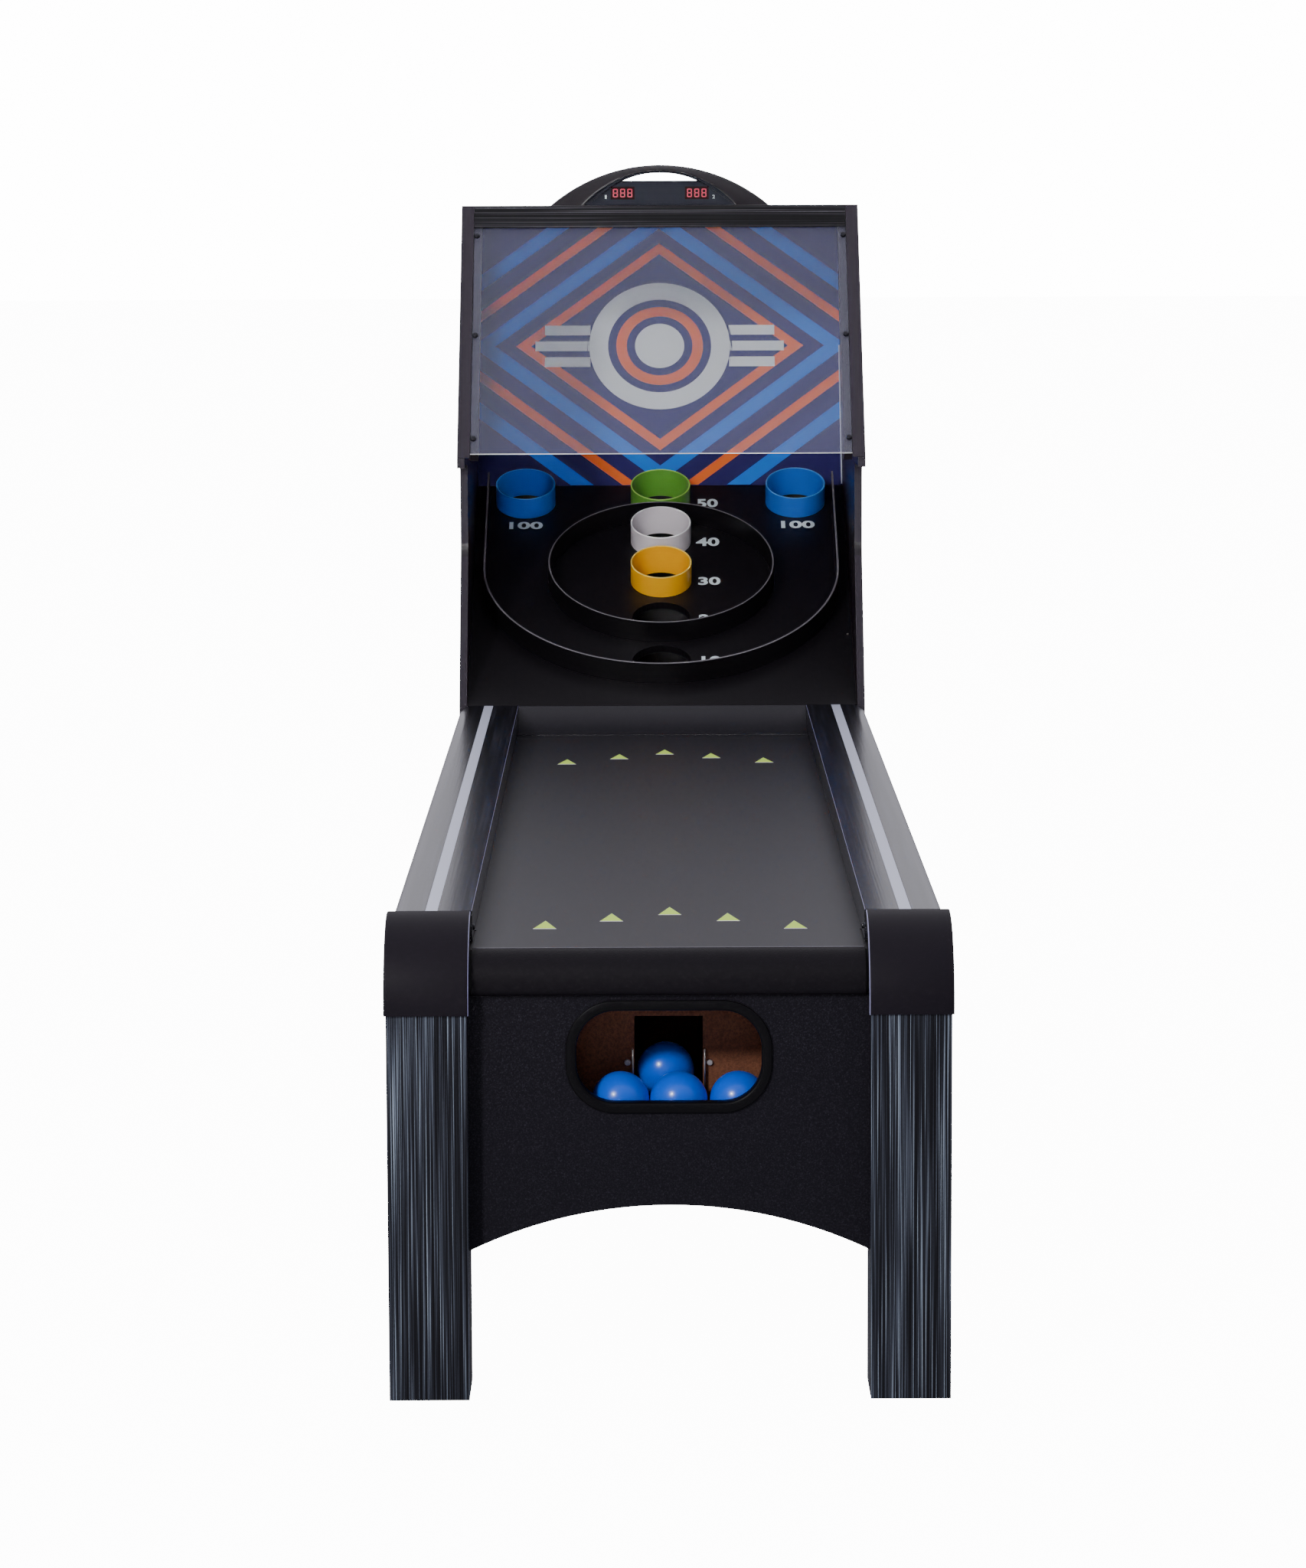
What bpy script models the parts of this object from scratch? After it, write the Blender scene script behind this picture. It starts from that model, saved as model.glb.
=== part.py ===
"""Roll and score game table: a long lane between rails, a ball return and a target cabinet.

Metres, +Z up. The player stands at -Y, the target cabinet is at +Y, and X runs across the lane.
The origin is on the floor under the middle of the table.
"""
import math

import bmesh
import bpy
from mathutils import Matrix, Vector

# Fits
GAP = 0.0003                # between two pieces that touch
OVERRUN = 0.004             # how far a cutter reaches past what it cuts
SINK = 0.001                # how deep a lug is rooted in its plate

# Whole table
TABLE_WIDTH = 0.650         # over the corner caps
LANE_SECTION = 2.200        # front of the corner caps to the front of the cabinet
CABINET_DEPTH = 0.850       # front to back of the target cabinet
RAIL_TOP = 0.554            # height of the rails above the floor
SKIRT_BOTTOM = 0.300        # lower edge of the side aprons and the cabinet

# Corner caps
CAP_WALL = 0.0022           # moulded wall
CAP_RADIUS = 0.100          # outside radius of the quarter round
CAP_SKIRT = 0.006           # straight skirt below the quarter round
CAP_FLANGE = 0.014          # how far the side flanges reach in over the leg

# Legs
LEG_WIDTH = 0.092
REAR_LEG_TOP = 0.500
REAR_LEG_DEPTH = 0.0975
LEG_CORNER = 0.003          # eased lower corners

# Boards of the lane section
SIDE_THICK = 0.012          # side aprons and cabinet sides
SIDE_INSET = 0.005          # side boards stand in from the widest line
RAIL_HEIGHT = 0.0362
RAIL_WIDTH = 0.0935
RAIL_ROUND = 0.018          # rounded outer edge of a rail
RAIL_EASE = 0.002           # eased inner edge of a rail
INLAY_PLACE = 0.0465        # middle of the inlay from the outer edge of the rail
INLAY_WIDTH = 0.014
INLAY_THICK = 0.0012
LANE_THICK = 0.016
LANE_START = 0.187          # front end of the lane board
BATTEN = 0.018              # square batten under the lane edges
BATTEN_REACH = 0.250        # how far the battens run on into the cabinet
RAMP_RUN = 0.095
RAMP_TOE = 0.0012
RAMP_CREST = 0.008          # flat crest at the back of the ramp

# Front roll and front apron
ROLL_FRONT = 0.020          # front of the roll, behind the cap fronts
ROLL_DEPTH = 0.051
ROLL_ROUND = 0.036
ROLL_EASE = 0.009           # rounded lower edge of the roll
ROLL_PLAY = 0.003           # between an end of the roll and the corner cap
APRON_FRONT = 0.030         # front of the apron, behind the cap fronts
APRON_THICK = 0.015
ARCH_END = 0.169            # height of the arch where it meets the legs
ARCH_CROWN = 0.222          # height of the arch at its middle
WINDOW_WIDTH = 0.2126
WINDOW_HEIGHT = 0.107
WINDOW_MIDDLE = 0.3951      # height of the middle of the ball window
WINDOW_CORNER = 0.045
BEZEL_FACE = 0.0122         # how far the bezel's flange stands out round the window
BEZEL_FLANGE = 0.003        # thickness of the flange
BEZEL_WALL = 0.003          # wall of the bezel's sleeve
BEZEL_EASE = 0.0015         # eased front edges of the bezel

# Ball box and return trough
BALL_DIAMETER = 0.0666
BOX_INSIDE_WIDTH = 0.280
BOX_INSIDE_DEPTH = 0.0844
BOX_BOARD = 0.009
BOX_FLOOR = 0.3015          # height of the box floor's upper face
TROUGH_STEP = 0.0222        # step from the box floor up to the trough
TROUGH_INSIDE = 0.080
TROUGH_BOARD = 0.005
TROUGH_WALL = 0.040         # height of the trough's walls above its floor
TROUGH_RISE = 0.0545        # rise from the ball box to the cabinet
MOUTH_HEIGHT = 0.101        # height of the mouth in the back of the ball box
CROSS_THICK = 0.018         # board that closes the cabinet front below the lane
CROSS_PASSAGE = 0.084       # height of the ball passage in that board

# Catch tray under the target board
TRAY_BOARD = 0.006
TRAY_WALL = 0.045
TRAY_SLOPE = math.radians(6.0)
TRAY_DROP = 0.004           # step from the tray down to the trough
TRAY_SHOULDER = 0.180       # how far back the guide walls spread to the full width

# Target board
BOARD_SLOPE = math.radians(27.58)
BOARD_LENGTH = 0.662
BOARD_THICK = 0.012
HOLE_RADIUS = 0.0475
FENCE_MARGIN = 0.0177       # from the outer fence to the cabinet side
FENCE_END = 0.018           # from the ends of the outer fence to the top of the board
FENCE_WALL = 0.003
FENCE_HEIGHT = 0.038
CUP_RADIUS = 0.04975
CUP_WALL = 0.0025
CUP_HEIGHT = 0.038
CUP_CHAMFER = 0.0008
CORNER_CUP_SIDE = 0.01155   # from a corner cup to the outer fence
CORNER_CUP_TOP = 0.00425    # from a corner cup to the top of the board

# The middle column has two holes and three cups. What they leave of the board's length is split
# into six gaps, from the lower edge of the board upwards.
COLUMN = [
    ("10", HOLE_RADIUS),
    ("20", HOLE_RADIUS),
    ("30", CUP_RADIUS),
    ("40", CUP_RADIUS),
    ("50", CUP_RADIUS),
]
GAP_SHARES = [0.4375, 0.190, 0.087, 0.1285, 0.1124, 0.0446]
OUTER_FENCE_SHARE = 0.8235  # place of the outer fence in the first gap
RING_LOW_SHARE = 0.336      # place of the round fence in the second gap
RING_HIGH_SHARE = 0.654     # place of the round fence in the fifth gap

# Score levers under the target board
SENSOR_PLATE = 0.004
SENSOR_HOLE = 0.050
SENSOR_MARGIN = 0.007       # rim left round the plate's outermost holes
LEVER_OFFSET = 0.062        # from the middle of the hole to the lever's pin
LEVER_DROP = 0.012          # pin below the plate
LEVER_HUB = 0.004           # radius
LEVER_WIDTH = 0.020
LEVER_REACH = 0.085
LEVER_THICK = 0.0025
LEVER_TIP = 0.010           # radius of the lever's rounded tip in plan
PIN_RADIUS = 0.0015
PIN_PLAY = 0.0001
EAR_THICK = 0.003
EAR_HALF = 0.006
EAR_PLAY = 0.0004
EAR_BELOW_PIN = 0.005

# Cabinet sides
SIDE_SETBACK = 0.120        # how far the throat lies behind the cabinet front
SIDE_SETBACK_TOP = 0.790    # height where the rake meets the upright throat
SIDE_THROAT_ROUND = 0.080
NOSE_FORWARD = 0.010        # canopy nose in front of the cabinet front
NOSE_THICK = 0.015
NOSE_CORNER = 0.024
CANOPY_BOTTOM = 0.945
CANOPY_SLOPE_RUN = 0.310
HEADER_TOP = 1.3335
ROOF_TOP = 1.318
ROOF_THICK = 0.012
BACK_THICK = 0.012
LIP_WIDTH = 0.020           # canopy lip seen from the front
LIP_DEPTH = 0.020           # canopy lip along the line of the shield's thickness
HEADER_HEIGHT = 0.035
HEADER_DEPTH = 0.022
BACKBOARD_THICK = 0.005

# Clear shield
SHIELD_THICK = 0.003
SHIELD_RECESS = 0.003
SHIELD_START = 0.012        # up the canopy slope from the nose
CLEAT_WIDTH = 0.0127
CLEAT_THICK = 0.018

# Scoreboard
SCORE_SETBACK = 0.023       # behind the header
SCORE_DEPTH = 0.050
SCORE_HEIGHT = 0.0797
SCORE_FOOT = 0.194          # half width at the foot
SCORE_BODY = 0.036          # depth of the housing behind its sloping band
FACE_HALF = 0.137           # half width of the recessed face at its foot
FACE_TOP = 0.071            # crown of the recessed face above the roof
FACE_RIM = 0.002
FACE_RECESS = 0.006
FACE_FOOT = 0.005
SLOT_FOOT = 0.0542          # lower edge of the handle slot above the roof
SLOT_BAR = 0.0038           # between the slot and the edge of the face
DISPLAY_WIDTH = 0.0385
DISPLAY_HEIGHT = 0.0205
DISPLAY_THICK = 0.002
DISPLAY_PLACE = 0.0603      # middle of a display from the middle of the housing
DISPLAY_MIDDLE = 0.0347     # height of the displays above the roof
DOOR_WIDTH = 0.072
DOOR_HEIGHT = 0.034
DOOR_THICK = 0.0022
DOOR_MIDDLE = 0.0265
DOOR_PLAY = 0.0005
DOOR_CORNER = 0.003
BUTTON_RADIUS = 0.006
BUTTON_LENGTH = 0.008
BUTTON_PROUD = 0.0025
BUTTON_PLAY = 0.0004
BUTTON_TRAVEL = 0.0015
BUTTON_PLACE = 0.062
BUTTON_EASE = 0.0008

# Balls: name, across, behind the cap fronts, whether it lies in the mouth of the trough
FRONT_ROW = 0.081
BALLS = [
    ("ball_front_left", -0.0560, FRONT_ROW, False),
    ("ball_front_middle", 0.0113, FRONT_ROW, False),
    ("ball_front_right", 0.0805, FRONT_ROW, False),
    ("ball_back", -0.0035, 0.148, True),
]

# Facets
FILLET_STEPS = 6
CAP_STEPS = 14
RING_STEPS = 72
FENCE_STEPS = 48
CUP_STEPS = 36
ARCH_STEPS = 28
PIN_STEPS = 24
SMOOTH_ANGLE = math.radians(35.0)

# Places that follow from the sizes above
HALF_WIDTH = TABLE_WIDTH / 2
FRONT = -(LANE_SECTION + CABINET_DEPTH) / 2
BACK = FRONT + LANE_SECTION + CABINET_DEPTH
LANE_END = FRONT + LANE_SECTION
CABINET_FRONT = LANE_END + GAP
SIDE_OUTER = HALF_WIDTH - SIDE_INSET
SIDE_INNER = SIDE_OUTER - SIDE_THICK
INSIDE = SIDE_INNER - GAP
LANE_TOP = RAIL_TOP - RAIL_HEIGHT - GAP
LANE_BOTTOM = LANE_TOP - LANE_THICK
RAIL_INNER = SIDE_OUTER - RAIL_WIDTH
LEG_OUTER = HALF_WIDTH - CAP_WALL - GAP
LEG_INNER = LEG_OUTER - LEG_WIDTH
CAP_INNER = LEG_INNER - GAP - CAP_WALL
LEG_ROUND = CAP_RADIUS - CAP_WALL - GAP
CAP_CENTRE_Y = FRONT + CAP_RADIUS
CAP_CENTRE_Z = RAIL_TOP - CAP_RADIUS
RAIL_START = CAP_CENTRE_Y + GAP
ROLL_BOTTOM = LANE_TOP - ROLL_DEPTH
APRON_TOP = ROLL_BOTTOM - GAP
APRON_FACE = FRONT + APRON_FRONT
APRON_BACK = APRON_FACE + APRON_THICK
BOX_FRONT = APRON_BACK + GAP
BOX_WALL_FACE = BOX_FRONT + BOX_INSIDE_DEPTH
BOX_BACK = BOX_WALL_FACE + BOX_BOARD
TROUGH_FLOOR = BOX_FLOOR + TROUGH_STEP
TROUGH_START = BOX_BACK + GAP
BATTEN_TOP = LANE_BOTTOM - GAP
CROSS_TOP = BATTEN_TOP - BATTEN - GAP
CROSS_BACK = CABINET_FRONT + CROSS_THICK
TROUGH_END = CROSS_BACK
TRAY_FRONT = CROSS_BACK + GAP
REAR_LEG_FACE = BACK - BACK_THICK - GAP - REAR_LEG_DEPTH
BACK_FACE = BACK - BACK_THICK
CANOPY_FRONT = CABINET_FRONT - NOSE_FORWARD
CANOPY_RISE = HEADER_TOP - CANOPY_BOTTOM
SLOPE_ALONG = Vector((CANOPY_SLOPE_RUN, CANOPY_RISE)).normalized()
SLOPE_INTO = Vector((SLOPE_ALONG.y, -SLOPE_ALONG.x))
LIP_INNER = SIDE_OUTER - LIP_WIDTH
ROOF_BOTTOM = ROOF_TOP - ROOF_THICK
HEADER_BACK = CANOPY_FRONT + CANOPY_SLOPE_RUN + HEADER_DEPTH
SCORE_BASE = ROOF_TOP + GAP
SCORE_FRONT = HEADER_BACK + SCORE_SETBACK
SCORE_BACK = SCORE_FRONT + SCORE_DEPTH
BOARD_FRAME = (Matrix.Translation((0.0, CABINET_FRONT, RAIL_TOP))
               @ Matrix.Rotation(BOARD_SLOPE, 4, "X"))
OUTER_FENCE_RADIUS = INSIDE - FENCE_MARGIN
CORNER_COLUMN = OUTER_FENCE_RADIUS - FENCE_WALL - CORNER_CUP_SIDE - CUP_RADIUS
CORNER_ROW = BOARD_LENGTH - CORNER_CUP_TOP - CUP_RADIUS
LEVER_LEVEL = -(BOARD_THICK + GAP + SENSOR_PLATE + LEVER_DROP)

COLOURS = {
    # slot: sRGB-like base colour, roughness, metallic, alpha
    "black_laminate": ((0.020, 0.020, 0.024), 0.45, 0.0, 1.0),
    "woodgrain_gloss": ((0.014, 0.014, 0.017), 0.18, 0.0, 1.0),
    "silver_inlay": ((0.560, 0.580, 0.640), 0.35, 0.6, 1.0),
    "lane_charcoal": ((0.055, 0.052, 0.062), 0.42, 0.0, 1.0),
    "black_moulding": ((0.018, 0.017, 0.020), 0.55, 0.0, 1.0),
    "front_roll": ((0.016, 0.015, 0.018), 0.40, 0.0, 1.0),
    "raw_fibreboard": ((0.230, 0.110, 0.060), 0.80, 0.0, 1.0),
    "target_black": ((0.012, 0.010, 0.014), 0.50, 0.0, 1.0),
    "printed_panel": ((0.014, 0.010, 0.080), 0.40, 0.0, 1.0),
    "clear_sheet": ((0.800, 0.820, 0.860), 0.05, 0.0, 0.25),
    "blue_plastic": ((0.006, 0.140, 0.640), 0.25, 0.0, 1.0),
    "green_plastic": ((0.150, 0.380, 0.040), 0.30, 0.0, 1.0),
    "white_plastic": ((0.680, 0.640, 0.660), 0.30, 0.0, 1.0),
    "yellow_plastic": ((0.760, 0.360, 0.008), 0.30, 0.0, 1.0),
    "red_display": ((0.300, 0.010, 0.020), 0.20, 0.0, 1.0),
    "sensor_plastic": ((0.050, 0.050, 0.055), 0.60, 0.0, 1.0),
}
CUP_COLOURS = {
    "100_left": "blue_plastic",
    "100_right": "blue_plastic",
    "50": "green_plastic",
    "40": "white_plastic",
    "30": "yellow_plastic",
}


def column():
    """Middles of the five score places in the middle column, and the six gaps between them."""
    free = BOARD_LENGTH - sum(2 * radius for name, radius in COLUMN)
    gaps = []
    middles = []
    edge = 0.0
    for share, (name, radius) in zip(GAP_SHARES, COLUMN):
        gaps.append((edge, edge + share * free))
        middles.append(edge + share * free + radius)
        edge = middles[-1] + radius
    gaps.append((edge, BOARD_LENGTH))
    return middles, gaps


def places():
    """Every score place: name, across the board, up the board, and the side its lever hangs from."""
    middles, gaps = column()
    rows = [(name, 0.0, middle, 1) for (name, radius), middle in zip(COLUMN, middles)]
    return rows + [("100_left", -CORNER_COLUMN, CORNER_ROW, 1), ("100_right", CORNER_COLUMN, CORNER_ROW, -1)]


def in_gap(index, share):
    """A place up the board inside one of the gaps of the middle column."""
    low, high = column()[1][index]
    return low + share * (high - low)


def start_empty():
    """Remove every object that the file holds."""
    for thing in list(bpy.data.objects):
        bpy.data.objects.remove(thing, do_unlink=True)


def material(slot):
    """The Principled material of one slot, made the first time it is asked for."""
    if slot in bpy.data.materials:
        return bpy.data.materials[slot]
    colour, roughness, metallic, alpha = COLOURS[slot]
    made = bpy.data.materials.new(slot)
    made.use_nodes = True
    shader = made.node_tree.nodes["Principled BSDF"]
    shader.inputs["Base Color"].default_value = (*colour, 1.0)
    shader.inputs["Roughness"].default_value = roughness
    shader.inputs["Metallic"].default_value = metallic
    shader.inputs["Alpha"].default_value = alpha
    return made


def piece(name, bm, slot, frame=None):
    """One named object from a bmesh, placed by its frame."""
    mesh = bpy.data.meshes.new(name)
    bm.to_mesh(mesh)
    bm.free()
    mesh.shade_smooth()
    mesh.set_sharp_from_angle(angle=SMOOTH_ANGLE)
    mesh.materials.append(material(slot))
    thing = bpy.data.objects.new(name, mesh)
    bpy.context.scene.collection.objects.link(thing)
    if frame is not None:
        thing.matrix_world = frame
    return thing


def change(target, bm, operation="DIFFERENCE"):
    """Cut a shape out of a piece, or join it on, with a hidden helper in the piece's own frame."""
    helper = piece(f"{target.name}_shape_{len(target.modifiers)}", bm, "sensor_plastic")
    helper.matrix_world = target.matrix_world.copy()
    helper.hide_render = True
    helper.display_type = "WIRE"
    modifier = target.modifiers.new(helper.name, "BOOLEAN")
    modifier.object = helper
    modifier.operation = operation
    modifier.solver = "EXACT"


def arc(centre, radius, start, end, steps):
    """Points of an arc in a plane, from one angle to another."""
    points = []
    for step in range(steps + 1):
        angle = start + (end - start) * step / steps
        points.append(Vector((centre[0] + radius * math.cos(angle), centre[1] + radius * math.sin(angle))))
    return points


def rounded(corners, steps=FILLET_STEPS):
    """Outline through (a, b, radius) corners, where each corner with a radius becomes an arc."""
    outline = []
    for index, (a, b, radius) in enumerate(corners):
        here = Vector((a, b))
        if radius == 0:
            outline.append(here)
            continue
        before = (Vector(corners[index - 1][:2]) - here).normalized()
        after = (Vector(corners[(index + 1) % len(corners)][:2]) - here).normalized()
        half = before.angle(after) / 2
        centre = here + (before + after).normalized() * radius / math.sin(half)
        first = here + before * radius / math.tan(half) - centre
        last = here + after * radius / math.tan(half) - centre
        turn = -first.angle_signed(last)
        for step in range(steps + 1):
            outline.append(centre + Matrix.Rotation(turn * step / steps, 2) @ first)
    return outline


def rectangle(low_a, low_b, high_a, high_b, radius=0):
    """Corners of a rectangle, with one radius for all of them."""
    return rounded([(low_a, low_b, radius), (high_a, low_b, radius),
                    (high_a, high_b, radius), (low_a, high_b, radius)])


def segment(half_width, base, crown, steps=ARCH_STEPS):
    """Outline of a circle's segment that stands on a straight base."""
    sagitta = crown - base
    radius = (half_width ** 2 + sagitta ** 2) / (2 * sagitta)
    reach = math.asin(min(1.0, half_width / radius))
    middle = math.pi / 2
    return arc((0.0, crown - radius), radius, middle - reach, middle + reach, steps)


def prism(outline, axis, low, high, bm=None):
    """An outline swept straight from low to high along one axis, as a closed shape."""
    bm = bm or bmesh.new()
    order = {"X": lambda a, b: (low, a, b), "Y": lambda a, b: (a, low, b), "Z": lambda a, b: (a, b, low)}
    face = bm.faces.new([bm.verts.new(order[axis](a, b)) for a, b in outline])
    swept = bmesh.ops.extrude_face_region(bm, geom=[face])
    moved = [item for item in swept["geom"] if isinstance(item, bmesh.types.BMVert)]
    way = Vector([high - low if letter == axis else 0.0 for letter in "XYZ"])
    bmesh.ops.translate(bm, vec=way, verts=moved)
    bmesh.ops.recalc_face_normals(bm, faces=bm.faces)
    return bm


def block(low, high, bm=None):
    """A plain board between two corners."""
    return prism(rectangle(low[0], low[1], high[0], high[1]), "Z", low[2], high[2], bm)


def pull(bm, faces, way):
    """Move a patch of a closed shape along a way, with new walls round it."""
    swept = bmesh.ops.extrude_face_region(bm, geom=faces)
    moved = [item for item in swept["geom"] if isinstance(item, bmesh.types.BMVert)]
    bmesh.ops.translate(bm, vec=way, verts=moved)
    bmesh.ops.delete(bm, geom=[face for face in faces if face.is_valid], context="FACES")
    bmesh.ops.recalc_face_normals(bm, faces=bm.faces)


def loft(loops, closed=False):
    """A skin through loops of equally many points, capped at both ends or closed on itself."""
    bm = bmesh.new()
    rings = [[bm.verts.new(point) for point in loop] for loop in loops]
    pairs = list(zip(rings, rings[1:]))
    if closed:
        pairs.append((rings[-1], rings[0]))
    else:
        bm.faces.new(rings[0])
        bm.faces.new(rings[-1])
    for first, second in pairs:
        for i in range(len(first)):
            bm.faces.new((first[i - 1], first[i], second[i], second[i - 1]))
    bmesh.ops.recalc_face_normals(bm, faces=bm.faces)
    return bm


def turned(profile, steps, bm=None):
    """A closed profile of (radius, height) points spun once round the local Z axis."""
    bm = bm or bmesh.new()
    points = [bm.verts.new((radius, 0.0, height)) for radius, height in profile]
    edges = [bm.edges.new((points[i - 1], points[i])) for i in range(len(points))]
    bmesh.ops.spin(bm, geom=points + edges, cent=(0.0, 0.0, 0.0), axis=(0.0, 0.0, 1.0),
                   angle=math.tau, steps=steps, use_merge=True)
    bmesh.ops.recalc_face_normals(bm, faces=bm.faces)
    return bm


def sides(name):
    """The left and the right of a mirrored pair: name, and the sign of X."""
    return [(f"{name}_left", -1), (f"{name}_right", 1)]


def between(side, near, far):
    """Two X values in rising order, for a span that lies on one side of the middle."""
    return sorted((side * near, side * far))


def slope_point(along, into):
    """A (y, z) point by its place up the canopy's sloping edge and its depth behind it."""
    return Vector((CANOPY_FRONT, CANOPY_BOTTOM)) + SLOPE_ALONG * along + SLOPE_INTO * into


def slope_at(height):
    """How far up the canopy's sloping edge a height lies."""
    return (height - CANOPY_BOTTOM) / SLOPE_ALONG.y


def front_legs():
    """Legs with a quarter-round shoulder under the corner caps."""
    top = CAP_CENTRE_Z + LEG_ROUND
    front = CAP_CENTRE_Y - LEG_ROUND
    shoulder = arc((CAP_CENTRE_Y, CAP_CENTRE_Z), LEG_ROUND, math.pi, math.pi / 2, CAP_STEPS)
    outline = [(CAP_CENTRE_Y, 0.0), (front, 0.0), *shoulder]
    for name, side in sides("front_leg"):
        leg = prism(outline, "X", *between(side, LEG_INNER, LEG_OUTER))
        piece(name, leg, "black_laminate")
    return top


def rear_legs():
    """Plain legs inside the cabinet's back corners."""
    for name, side in sides("rear_leg"):
        low, high = between(side, INSIDE - LEG_WIDTH, INSIDE)
        outline = rounded([(low, 0.0, LEG_CORNER), (high, 0.0, LEG_CORNER), (high, REAR_LEG_TOP, 0),
                           (low, REAR_LEG_TOP, 0)])
        leg = prism(outline, "Y", REAR_LEG_FACE, REAR_LEG_FACE + REAR_LEG_DEPTH)
        piece(name, leg, "black_laminate")


def corner_caps():
    """Moulded quarter-round covers with a flange down each side of the leg."""
    centre = (CAP_CENTRE_Y, CAP_CENTRE_Z)
    bottom = CAP_CENTRE_Z - CAP_SKIRT
    inner = CAP_RADIUS - CAP_WALL
    flange = inner - CAP_FLANGE
    outer_arc = arc(centre, CAP_RADIUS, math.pi, math.pi / 2, CAP_STEPS)
    for name, side in sides("corner_cap"):
        low, high = between(side, CAP_INNER, HALF_WIDTH)
        outer = [(FRONT, bottom), *outer_arc, (CAP_CENTRE_Y, CAP_CENTRE_Z + flange),
                 *arc(centre, flange, math.pi / 2, math.pi, CAP_STEPS), (CAP_CENTRE_Y - flange, bottom)]
        cap = piece(name, prism(outer, "X", low, high), "black_moulding")
        hollow = [(CAP_CENTRE_Y - inner, bottom - OVERRUN),
                  *arc(centre, inner, math.pi, math.pi / 2, CAP_STEPS),
                  (CAP_CENTRE_Y + OVERRUN, CAP_CENTRE_Z + inner),
                  (CAP_CENTRE_Y + OVERRUN, CAP_CENTRE_Z + flange - OVERRUN),
                  *arc(centre, flange - OVERRUN, math.pi / 2, math.pi, CAP_STEPS),
                  (CAP_CENTRE_Y - flange + OVERRUN, bottom - OVERRUN)]
        change(cap, prism(hollow, "X", low + CAP_WALL, high - CAP_WALL))


def rails():
    """Glossy rails with a rounded outer edge and a groove for the silver inlay."""
    bottom = RAIL_TOP - RAIL_HEIGHT
    middle = SIDE_OUTER - INLAY_PLACE
    groove = INLAY_WIDTH / 2 + GAP
    floor = RAIL_TOP - INLAY_THICK - GAP
    outline = rounded([(RAIL_INNER, bottom, 0), (SIDE_OUTER, bottom, 0), (SIDE_OUTER, RAIL_TOP, RAIL_ROUND),
                       (middle + groove, RAIL_TOP, 0), (middle + groove, floor, 0),
                       (middle - groove, floor, 0), (middle - groove, RAIL_TOP, 0),
                       (RAIL_INNER, RAIL_TOP, RAIL_EASE)])
    strip = rectangle(middle - INLAY_WIDTH / 2, floor + GAP, middle + INLAY_WIDTH / 2, RAIL_TOP)
    for name, side in sides("rail"):
        mirrored = [(side * x, z) for x, z in outline]
        piece(name, prism(mirrored, "Y", RAIL_START, LANE_END), "woodgrain_gloss")
    for name, side in sides("rail_inlay"):
        mirrored = [(side * x, z) for x, z in strip]
        piece(name, prism(mirrored, "Y", RAIL_START, LANE_END), "silver_inlay")


def lane_frame():
    """Side aprons and the square battens that carry the lane and tie the cabinet on."""
    for name, side in sides("side_apron"):
        low, high = between(side, SIDE_INNER, SIDE_OUTER)
        apron = block((low, RAIL_START, SKIRT_BOTTOM), (high, LANE_END, LANE_TOP))
        piece(name, apron, "black_laminate")
    for name, side in sides("lane_batten"):
        low, high = between(side, INSIDE - BATTEN, INSIDE)
        batten = block((low, RAIL_START, BATTEN_TOP - BATTEN), (high, LANE_END + BATTEN_REACH, BATTEN_TOP))
        piece(name, batten, "raw_fibreboard")


def lane():
    """The lane board, held down at its edges by the rails."""
    board = block((-INSIDE, FRONT + LANE_START, LANE_BOTTOM), (INSIDE, LANE_END, LANE_TOP))
    piece("lane_board", board, "lane_charcoal")


def launch_ramp():
    """Concave ramp at the end of the lane, as high as the rails."""
    base = LANE_TOP + GAP
    back = LANE_END - GAP
    crest = back - RAMP_CREST
    start = back - RAMP_RUN
    run = crest - start
    rise = RAIL_TOP - base - RAMP_TOE
    radius = (run ** 2 + rise ** 2) / (2 * rise)
    sweep = math.asin(min(1.0, run / radius))
    curve = arc((start, base + RAMP_TOE + radius), radius, -math.pi / 2, -math.pi / 2 + sweep, CAP_STEPS)
    outline = [(start, base), *curve, (back, RAIL_TOP), (back, base)]
    half = RAIL_INNER - GAP
    piece("launch_ramp", prism(outline, "X", -half, half), "lane_charcoal")


def front_roll():
    """Rounded front end of the lane, between the corner caps."""
    front = FRONT + ROLL_FRONT
    back = FRONT + LANE_START - GAP
    outline = rounded([(front, ROLL_BOTTOM, ROLL_EASE), (back, ROLL_BOTTOM, 0), (back, LANE_TOP, 0),
                       (front, LANE_TOP, ROLL_ROUND)], steps=CAP_STEPS)
    half = CAP_INNER - ROLL_PLAY
    piece("front_roll", prism(outline, "X", -half, half), "front_roll")


def window_outline(grow):
    """The ball window's outline, grown all round by a margin, as (x, z) points."""
    half = WINDOW_WIDTH / 2 + grow
    rise = WINDOW_HEIGHT / 2 + grow
    return rectangle(-half, WINDOW_MIDDLE - rise, half, WINDOW_MIDDLE + rise, WINDOW_CORNER + grow)


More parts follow.
